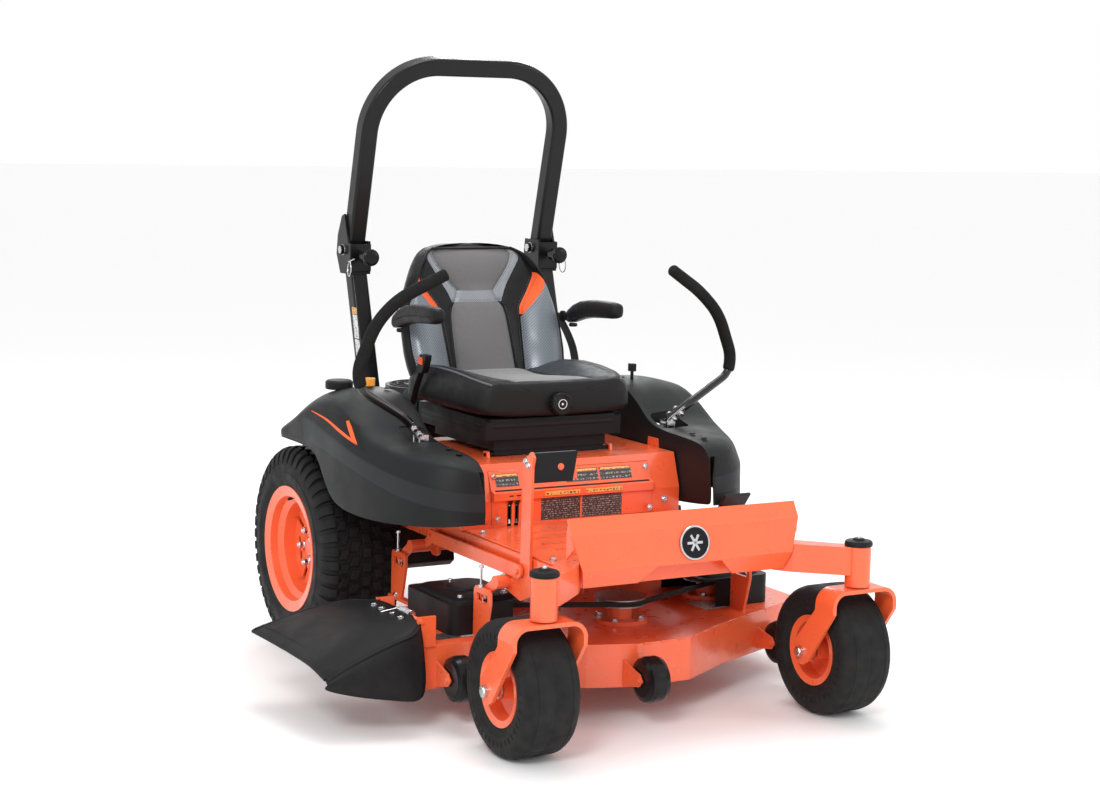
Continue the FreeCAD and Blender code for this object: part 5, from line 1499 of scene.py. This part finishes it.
def engine_shroud_detail():
    """Screen slats, shroud ribs, oil filter, dipstick and spark plug leads."""
    shape = Shape()
    for inner, outer in zip(circle(SCREEN, 0.060, 18, "X", "Y"), circle(SCREEN, 0.104, 18, "X", "Y")):
        shape.tube([inner, outer], 0.0022, 6, 0)
    for r in (0.060, 0.082, 0.104):
        shape.tube(circle(SCREEN + Vector((0, 0, 0.0005)), r, 48, "X", "Y"), 0.0022, 6, 0, loop=True)
    shape.lathe([(0, 0), (0, 0.024), (0.006, 0.0235), (0.008, 0.020), (0.008, 0)],
                SCREEN - Vector((0, 0, 0.0005)), "Z", 32, 0)
    for i in range(11):
        x = -0.19 + 0.038 * i
        shape.block((x - 0.0075, 0.4552, 0.566), (x + 0.0075, 0.4572, 0.632), 0)
    filter_at = Vector((0.085, 0.425, 0.476))
    profile = [(0, 0), (0, 0.026), (0.006, 0.030), (0.010, 0.0365), (0.060, 0.0365), (0.066, 0.034),
               (0.070, 0.024), (0.071, 0)]
    shape.lathe(profile, filter_at, "Y", 40, 1)
    for at in circle(filter_at + Vector((0, 0.046, 0)), 0.0355, 12):
        shape.tube([at, at + Vector((0, 0.018, 0))], 0.0022, 6, 1)
    stick = smooth_line([(-0.105, 0.425, 0.480), (-0.118, 0.452, 0.510), (-0.128, 0.462, 0.560),
                         (-0.132, 0.464, 0.610)], 6)
    shape.tube(stick, 0.0055, 10, 0)
    shape.lathe([(0, 0), (0, 0.009), (0.004, 0.012), (0.016, 0.012), (0.020, 0.008), (0.020, 0)],
                (-0.132, 0.464, 0.608), "Z", 24, 2)
    for side in (-1, 1):
        lead = smooth_line([(side * 0.232, 0.330, 0.520), (side * 0.236, 0.300, 0.556),
                            (side * 0.218, 0.270, 0.580), (side * 0.206, 0.250, 0.600)], 6)
        shape.tube(lead, 0.0042, 8, 0)
        shape.lathe([(0, 0), (0, 0.010), (0.012, 0.0095), (0.020, 0.0065), (0.020, 0)],
                    (side * 0.230, 0.332, 0.516), (side * 0.5, 0, 0.8), 20, 0)
    return shape


SLAT = ((-0.009, 0), (0.009, 0), (0.009, 0.0012), (-0.009, 0.0012))


def muffler_detail():
    """Rolled seams and outlet pipe of the silencer, with the slats of its heat guard."""
    shape = Shape()
    centre = Vector((0, 0.510, 0.480))
    for x in (-0.168, -0.085, 0.085, 0.168):
        shape.tube(circle(centre + Vector((x, 0, 0)), 0.0485, 40, "Y", "Z"), 0.0022, 6, 0, loop=True)
    for i in range(9):
        x = -0.12 + 0.03 * i
        arc = [centre + Vector((x, math.cos(a) * 0.0515, math.sin(a) * 0.0515))
               for a in (math.radians(-40 + 10 * k) for k in range(15))]
        rings = [[p + Vector((x_reach, 0, rise)) for x_reach, rise in SLAT] for p in arc]
        shape.loft(rings, mark=0)
    pipe = bend([(0.168, 0.510, 0.480), (0.200, 0.510, 0.480), (0.206, 0.560, 0.470)], 0.03)
    shape.tube(pipe, 0.014, 16, 0)
    return shape


piece("engine_fins", engine_fins(), "chassis", "engine_casting", ["engine_casting", "plated_steel"],
      smooth=35)
piece("engine_fittings", engine_shroud_detail(), "chassis", "cover_plastic",
      ["cover_plastic", "filter_orange", "amber_plastic"], smooth=45)
piece("muffler_fittings", muffler_detail(), "chassis", "muffler_steel", smooth=40)


# ---- fender trim ----------------------------------------------------------------------
def skin_of(name):
    """Search tree of a finished skin with its modifiers."""
    shown = bpy.data.objects[name].evaluated_get(bpy.context.evaluated_depsgraph_get())
    tree = search_tree((shown.to_mesh(), Matrix()))
    shown.to_mesh_clear()
    return tree


PATCH_ROWS, PATCH_COLUMNS, FENDER_SIDE_X = 4, 24, 0.575


def laid_patch(tree, top_points, low_points, from_x, lift):
    """Printed patch between two (y, z) lines, laid on a fender's side."""
    top, low = (smooth_line([(0, y, z) for y, z in points], 8) for points in (top_points, low_points))
    picks = [round(j * (len(top) - 1) / PATCH_COLUMNS) for j in range(PATCH_COLUMNS + 1)]
    inwards = Vector((-math.copysign(1.0, from_x), 0, 0))
    grid = []
    for i in range(PATCH_ROWS + 1):
        line = []
        for k in picks:
            p = lerp(top[k], low[k], i / PATCH_ROWS)
            hit, normal, _, _ = tree.ray_cast(Vector((from_x, p.y, p.z)), inwards)
            if hit is None:
                line.append(Vector((math.copysign(FENDER_SIDE_X, from_x), p.y, p.z)))
            else:
                line.append(hit + normal * lift)
        grid.append(line)
    return grid


# Side flash: a dark wedge with a bright hooked stripe along its lower and front edges.
WEDGE_TOP = [(-0.150, 0.7020), (-0.250, 0.7080), (-0.330, 0.7030), (-0.395, 0.6860)]
WEDGE_LOW = [(-0.152, 0.6985), (-0.270, 0.6800), (-0.380, 0.6500), (-0.470, 0.6290)]
STRIPE_TOP = [(-0.165, 0.6990), (-0.260, 0.6890), (-0.345, 0.6690), (-0.400, 0.6540)]
STRIPE_LOW = [(-0.167, 0.6970), (-0.262, 0.6830), (-0.350, 0.6600), (-0.432, 0.6400)]
HOOK_TOP = [(-0.360, 0.6950), (-0.385, 0.6790), (-0.412, 0.6580), (-0.434, 0.6410)]
HOOK_LOW = [(-0.352, 0.6930), (-0.372, 0.6760), (-0.392, 0.6600), (-0.404, 0.6520)]


def fender_flash(side):
    tree = skin_of("fender_skin_" + side)
    from_x = 0.9 if side == "left" else -0.9
    shape = Shape()
    for top, low, lift, mark in ((WEDGE_TOP, WEDGE_LOW, 0.0006, 0), (STRIPE_TOP, STRIPE_LOW, 0.0012, 1),
                                 (HOOK_TOP, HOOK_LOW, 0.0012, 1)):
        shape.loft(laid_patch(tree, top, low, from_x, lift), closed=False, caps=False, mark=mark)
    return shape


for side in ("left", "right"):
    piece("fender_flash_" + side, fender_flash(side), "chassis", "body_plastic",
          ["cover_plastic", "orange_vinyl"])


# ---- control details ------------------------------------------------------------------
def box_prints():
    """Strips of small warnings on the folded top of the seat box, each with a coloured head."""
    shape = Shape()
    tree = node_tree("seat_box", "service_hatch")
    for x0, x1 in ((-0.228, -0.160), (-0.018, 0.082), (0.088, 0.186)):
        front_patch(shape, tree, (x0, x1), (0.534, 0.566), 0.0008, 0)
        front_patch(shape, tree, (x0 + 0.003, x1 - 0.003), (0.5585, 0.5645), 0.0014, 1)
    return shape


def hatch_pressings():
    """Pressed ring, a dark strip of painted shade for the shut line under the folded top, and the two slots,
    each a dark patch of painted shade with a lighter strip inside.
    """
    shape = Shape()
    tree = node_tree("service_hatch")
    rays = [(start, AXES["Y"]) for start in circle((-0.216, -1.5, 0.470), 0.013, 40)]
    ring = [point + Vector((0, -0.0004, 0)) for point in surface_line(tree, rays)]
    shape.tube(ring, 0.0013, 6, 0, loop=True)
    # Dark strip of painted shade under the folded top, standing for the shut line.
    front_patch(shape, tree, (-0.236, 0.236), (0.5235, 0.5262), 0.0005, 1, 2, 12)
    for x, fill in ((-0.193, 2), (-0.1715, 3)):
        # Dark patch of painted shade where the slot opens, then a lighter strip laid inside it.
        front_patch(shape, tree, (x - 0.0062, x + 0.0062), (0.4300, 0.5130), 0.0006, 1)
        front_patch(shape, tree, (x - 0.0022, x + 0.0030), (0.4370, 0.5060), 0.0012, fill)
    return shape


LIFT_SHAFT_Y = -0.881


def lift_pad():
    """Moulded black cover over the lift pedal's pad, with tread ribs and one bright screw."""
    shape = Shape()
    shaft = LIFT_SHAFT_Y
    side = [(shaft - 0.1075, 0.6140), (shaft - 0.0990, 0.6860), (shaft - 0.0620, 0.6795),
            (shaft - 0.0680, 0.6140)]
    near = [Vector((-0.3325, y, z)) for y, z in side]
    far = [Vector((-0.2085 - 0.018 * (0.686 - z) / 0.072, y, z)) for y, z in side]
    shape.loft([near, far])
    for i in range(5):
        y = lerp(shaft - 0.0965, shaft - 0.0645, i / 4)
        z = lerp(0.6860, 0.6800, i / 4)
        shape.tube([(-0.326, y, z), (-0.214, y, z)], 0.0016, 6, 1)
    front = lambda z: shaft - 0.1075 + 0.0085 * (z - 0.614) / 0.072
    shape.bolt((-0.258, front(0.650) + 0.0005, 0.650), (0, -1, 0.12), 0.0068, 0.004, 2)
    return shape


def pedal_bolts():
    """Two screws through the lift pedal's arm into its pad."""
    shape = Shape()
    for y, z in ((-0.972, 0.655), (-0.957, 0.664)):
        shape.bolt((-0.3408, y, z), (-1, 0, 0), 0.0068, 0.004, 0)
    return shape


def lift_adjusters():
    """Adjusting bolts that stand on the deck's hangers, and the spring pins beside them."""
    shape = Shape()
    for pin_y in (-0.811, -0.322):
        foot = Vector((0.3882, pin_y - 0.012, 0.3295))
        shape.tube([foot, foot + Vector((0, 0, 0.052))], 0.0030, 12)
        shape.bolt(foot, (0, 0, 1), 0.0062, 0.006)
        shape.bolt(foot + Vector((0, 0, 0.050)), (0, 0, 1), 0.0060, 0.005)
        loop = []
        for i in range(15):
            a = math.radians(20 + 320 * i / 14)
            loop.append(foot + Vector((0.0065, -0.030 - 0.0085 * math.cos(a), -0.024 + 0.0085 * math.sin(a))))
        shape.tube(loop, 0.0012, 6)
    return shape


SPINDLES = ((-0.345, -0.640), (0.032, -0.800), (0.410, -0.640))
LID_TOP = 0.2878


def belt_cover_lids():
    """Raised panel, spindle boss and screws on top of each belt cover."""
    shape = Shape()
    for (x, y), side in ((SPINDLES[0], -1), (SPINDLES[2], 1)):
        centre = (x - side * 0.0025, y - 0.008)
        steps = ((0.0920, 0.1220, 0.2776), (0.0905, 0.1205, 0.2805), (0.0800, 0.1100, 0.2875),
                 (0.0780, 0.1080, 0.2880))
        shape.loft([rounded_plan(centre, (hx, hy), 0.030, z) for hx, hy, z in steps])
        shape.lathe([(0, 0), (0, 0.046), (0.004, 0.0440), (0.005, 0.040), (0.005, 0)], (x, y, LID_TOP),
                    "Z", 40)
        for dx, dy in ((-0.062, -0.092), (0.062, -0.092), (0.0, 0.088)):
            shape.bolt((centre[0] + dx, centre[1] + dy, LID_TOP), (0, 0, 1), 0.0070, 0.005, 1)
    return shape


def post_sticker():
    """Tall warning label on the outer face of the right rollover post."""
    shape = Shape()
    low, high = Vector((-0.3308, 0.060, 0.80)), Vector((-0.3308, 0.098, 0.95))
    for t0, t1, mark in ((0.0, 0.40, 0), (0.42, 0.86, 0), (0.87, 1.0, 1)):
        a, b = lerp(low, high, t0), lerp(low, high, t1)
        sheet(shape, [a + Vector((0, 0.016, 0)), a + Vector((0, -0.016, 0)), b + Vector((0, -0.016, 0)),
                      b + Vector((0, 0.016, 0))], 0.0008, mark)
    return shape


def fender_bolts():
    """Push clips along the fenders' inner edges."""
    shape = Shape()
    for y, z in ((-0.60, 0.6445), (-0.66, 0.6395), (-0.22, 0.7565), (-0.10, 0.7525)):
        shape.lathe([(0, 0), (0, 0.009), (0.002, 0.0085), (0.0035, 0.006), (0.0035, 0)], (0.372, y, z),
                    "Z", 20)
    return shape


def rear_guard_trim():
    """Two bolts of the hitch plate."""
    shape = Shape()
    for x in (-0.050, 0.050):
        shape.bolt((x, 0.532, 0.3835), (0, 0, 1), 0.0085, 0.006)
    return shape


piece("lift_pedal_pad", lift_pad(), "front_lift", "cover_plastic",
      ["cover_plastic", "stitch_grey", "orange_paint"], bevel=0.0022, smooth=35)
piece("lift_pedal_bolts", pedal_bolts(), "front_lift", "plated_steel", bevel=0.0005, smooth=35)
piece("belt_cover_lids", belt_cover_lids(), "deck", "cover_plastic", ["cover_plastic", "plated_steel"],
      bevel=0.0006, smooth=35)
both("lift_adjusters", lift_adjusters, "deck", "plated_steel", smooth=35)
piece("hatch_pressings", hatch_pressings(), "chassis", "orange_paint",
      ["orange_paint", "cover_plastic", "white_ink", "stitch_grey"], smooth=50)
piece("box_prints", box_prints(), "chassis", "cover_plastic", ["warning_print", "amber_print"])
piece("post_sticker", post_sticker(), "chassis", "black_paint", ["pale_print", "amber_print"])
both("fender_clips", fender_bolts, "chassis", "cover_plastic", smooth=40)
piece("hitch_bolts", rear_guard_trim(), "chassis", "plated_steel", bevel=0.0005, smooth=35)


# ---- steering levers ------------------------------------------------------------------
def lever_line():
    """Centre line of the bent lever with generous bends."""
    return bend(LEVER_PATH, 0.052, 10)


def lever_rod():
    return Shape().tube(lever_line(), ROD_R, 20)


def lever_foam():
    """Foam sleeve from above the elbow to the tip, swelling at its rolled ends."""
    line = [p for p in lever_line() if p.z > 0.797]
    radii = [FOAM_R] * len(line)
    radii[0], radii[-1] = FOAM_R * 0.9, FOAM_R * 0.96
    start = (line[1] - line[0]).normalized()
    line.insert(0, line[0] - start * 0.0025)
    radii.insert(0, FOAM_R * 0.72)
    tip = (line[-1] - line[-2]).normalized()
    for reach, share in ((0.0030, 0.86), (0.0016, 0.62), (0.0016, 0.05)):
        line.append(line[-1] + tip * reach)
        radii.append(FOAM_R * share)
    return Shape().tube(line, radii, 24)


both("lever_rod", lever_rod, "lever", "gloss_black_paint", smooth=60, replaces=["steering_lever"])
both("lever_foam", lever_foam, "lever", "grip_foam", smooth=50, replaces=["lever_grip"])


# ---- deck belt ------------------------------------------------------------------------
CRANK_END, IDLER_END, BELT_HEIGHT = 0.25, -0.44, 0.255


def make_belt():
    """Belt between the engine's pulley on the chassis and the idlers on the deck, cut into slices along its
    length.
    """
    mesh = NODES["deck_belt"].data.copy()
    mesh.transform(NODES["deck_belt"].matrix_world)
    work = bmesh.new()
    work.from_mesh(mesh)
    cuts = 24
    for i in range(cuts + 1):
        place = Vector((0, lerp(IDLER_END, CRANK_END, i / cuts), 0)) + ORIGIN
        geometry = work.verts[:] + work.edges[:] + work.faces[:]
        bmesh.ops.bisect_plane(work, geom=geometry, plane_co=place, plane_no=(0, 1, 0), dist=0.00001)
    work.to_mesh(mesh)
    work.free()
    mesh.materials.clear()
    mesh.materials.append(MATERIAL["belt_rubber"])
    made = bpy.data.objects.new("belt_band", mesh)
    bpy.context.scene.collection.objects.link(made)
    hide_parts("deck_belt")
    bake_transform(made)


make_belt()


# ---- decals and small trim ------------------------------------------------------------
def front_decals():
    """Two-part warning plate of the hatch; its words are left as bars."""
    shape = Shape()
    tree = node_tree("seat_box", "service_hatch")
    for x0, x1 in ((-0.098, 0.021), (0.027, 0.150)):
        front_patch(shape, tree, (x0, x1), (0.4385, 0.5045), 0.0006, 0)
        front_patch(shape, tree, (x0 + 0.006, x1 - 0.006), (0.5060, 0.5170), 0.0007, 1)
    return shape


def round_badge():
    """Plain round emblem on the toe guard: domed black disc in a bright ring with a bar motif."""
    shape = Shape()
    top, foot = Vector((0, -1.1650, 0.514)), Vector((0, -1.1790, 0.430))
    up = (top - foot).normalized()
    side = Vector((1, 0, 0))
    out = side.cross(up).normalized()
    centre = lerp(foot, top, 0.53) + Vector((0.013, 0, 0)) + out * 0.0005
    bar = 0.044
    for r0, r1, height, mark in ((0.0, 0.0385, 0.0032, 0), (0.0375, 0.0425, 0.0046, 1)):
        profile = [(0, r0), (0, r1), (height * 0.7, r1), (height, r1 - 0.001), (height, r0 + 0.0006),
                   (0.001, r0)]
        shape.lathe(profile, centre, out, 56, mark)
    for a in (0, math.pi / 3, 2 * math.pi / 3):
        along = side * math.cos(a) + up * math.sin(a)
        cross = out.cross(along)
        corners = [centre + along * s * bar / 2 + cross * t * 0.0032 + out * 0.0030
                   for s, t in ((-1, -1), (1, -1), (1, 1), (-1, 1))]
        shape.prism(corners, out, 0.0010, 1)
    return shape


def box_bolts():
    """Bolt heads of the seat box, hatch, foot pan and toe guard."""
    shape = Shape()
    for x in (-0.232, 0.232):
        for z in (0.452, 0.560):
            shape.bolt((x, -0.6135 + (0.03 if z > 0.5 else 0), z), (0, -1, 0), 0.0065, 0.0045)
    for x in (-0.285, 0.285):
        shape.bolt((x, -0.6005, 0.470), (0, -1, 0), 0.0075, 0.005)
    for x, y in ((-0.30, -0.66), (0.30, -0.66), (-0.30, -1.03), (0.30, -1.03), (-0.25, -1.10), (0.25, -1.10)):
        shape.bolt((x, y, 0.4302), (0, 0, 1), 0.0080, 0.0055)
    return shape


def deck_bolts():
    """Carriage bolts round the spindle housings and on the deck's rear."""
    shape = Shape()
    for x, y in SPINDLES:
        for k in range(4):
            a = math.radians(45 + 90 * k)
            shape.bolt((x + math.cos(a) * 0.056, y + math.sin(a) * 0.056, 0.2092), (0, 0, 1), 0.0085, 0.006)
    for x, y in ((-0.39, -0.33), (0.39, -0.33), (-0.39, -0.44), (0.39, -0.44)):
        shape.bolt((x, y, 0.2072), (0, 0, 1), 0.0085, 0.006)
    return shape


DECK_TOP = 0.2003


def deck_stickers():
    """Pale and dark stickers on the deck's top, with bars for words."""
    shape = Shape()
    for (x0, x1), (y0, y1), mark in (((0.30, 0.37), (-0.80, -0.70), 0), ((0.39, 0.43), (-0.80, -0.74), 1),
                                     ((-0.50, -0.43), (-0.80, -0.745), 1),
                                     ((-0.425, -0.36), (-0.80, -0.745), 0)):
        corners = ((x0, y0), (x1, y0), (x1, y1), (x0, y1))
        sheet(shape, [(x, y, DECK_TOP) for x, y in corners], 0.0005, mark)
    return shape


def weld_bead(shape, start, end, radius):
    """Rippled bead of weld between two points."""
    count = max(4, int((end - start).length / 0.004))
    line = [lerp(start, end, i / count) for i in range(count + 1)]
    radii = [radius * (0.85 + 0.2 * (i % 2)) for i in range(count + 1)]
    shape.tube(line, radii, 7)


WELD_RUNS = [((0.249, -0.9465, 0.199), (0.100, -1.0365, 0.199)),
             ((0.10, -1.0365, 0.199), (-0.06, -1.0405, 0.199)),
             ((-0.181, -0.9985, 0.199), (-0.430, -0.8465, 0.199)),
             ((0.521, -0.8225, 0.199), (0.249, -0.9465, 0.199))]


def deck_welds():
    """Three short beads along each run of the deck's front edge."""
    shape = Shape()
    for start, end in WELD_RUNS:
        a, b = Vector(start), Vector(end)
        for t in (0.1, 0.42, 0.74):
            weld_bead(shape, lerp(a, b, t), lerp(a, b, t + 0.14), 0.0028)
    return shape


piece("front_decals", front_decals(), "chassis", "cover_plastic", ["warning_print", "amber_print"])
piece("toe_badge", round_badge(), "chassis", "gloss_plastic_black", ["gloss_plastic_black", "plated_steel"],
      bevel=0.0003, smooth=35)
piece("box_bolts", box_bolts(), "chassis", "plated_steel", bevel=0.0004, smooth=35)
piece("deck_bolts", deck_bolts(), "deck", "plated_steel", bevel=0.0004, smooth=35)
piece("deck_welds", deck_welds(), "deck", "orange_paint", smooth=60)
piece("deck_stickers", deck_stickers(), "deck", "cover_plastic", ["pale_print", "warning_print"])
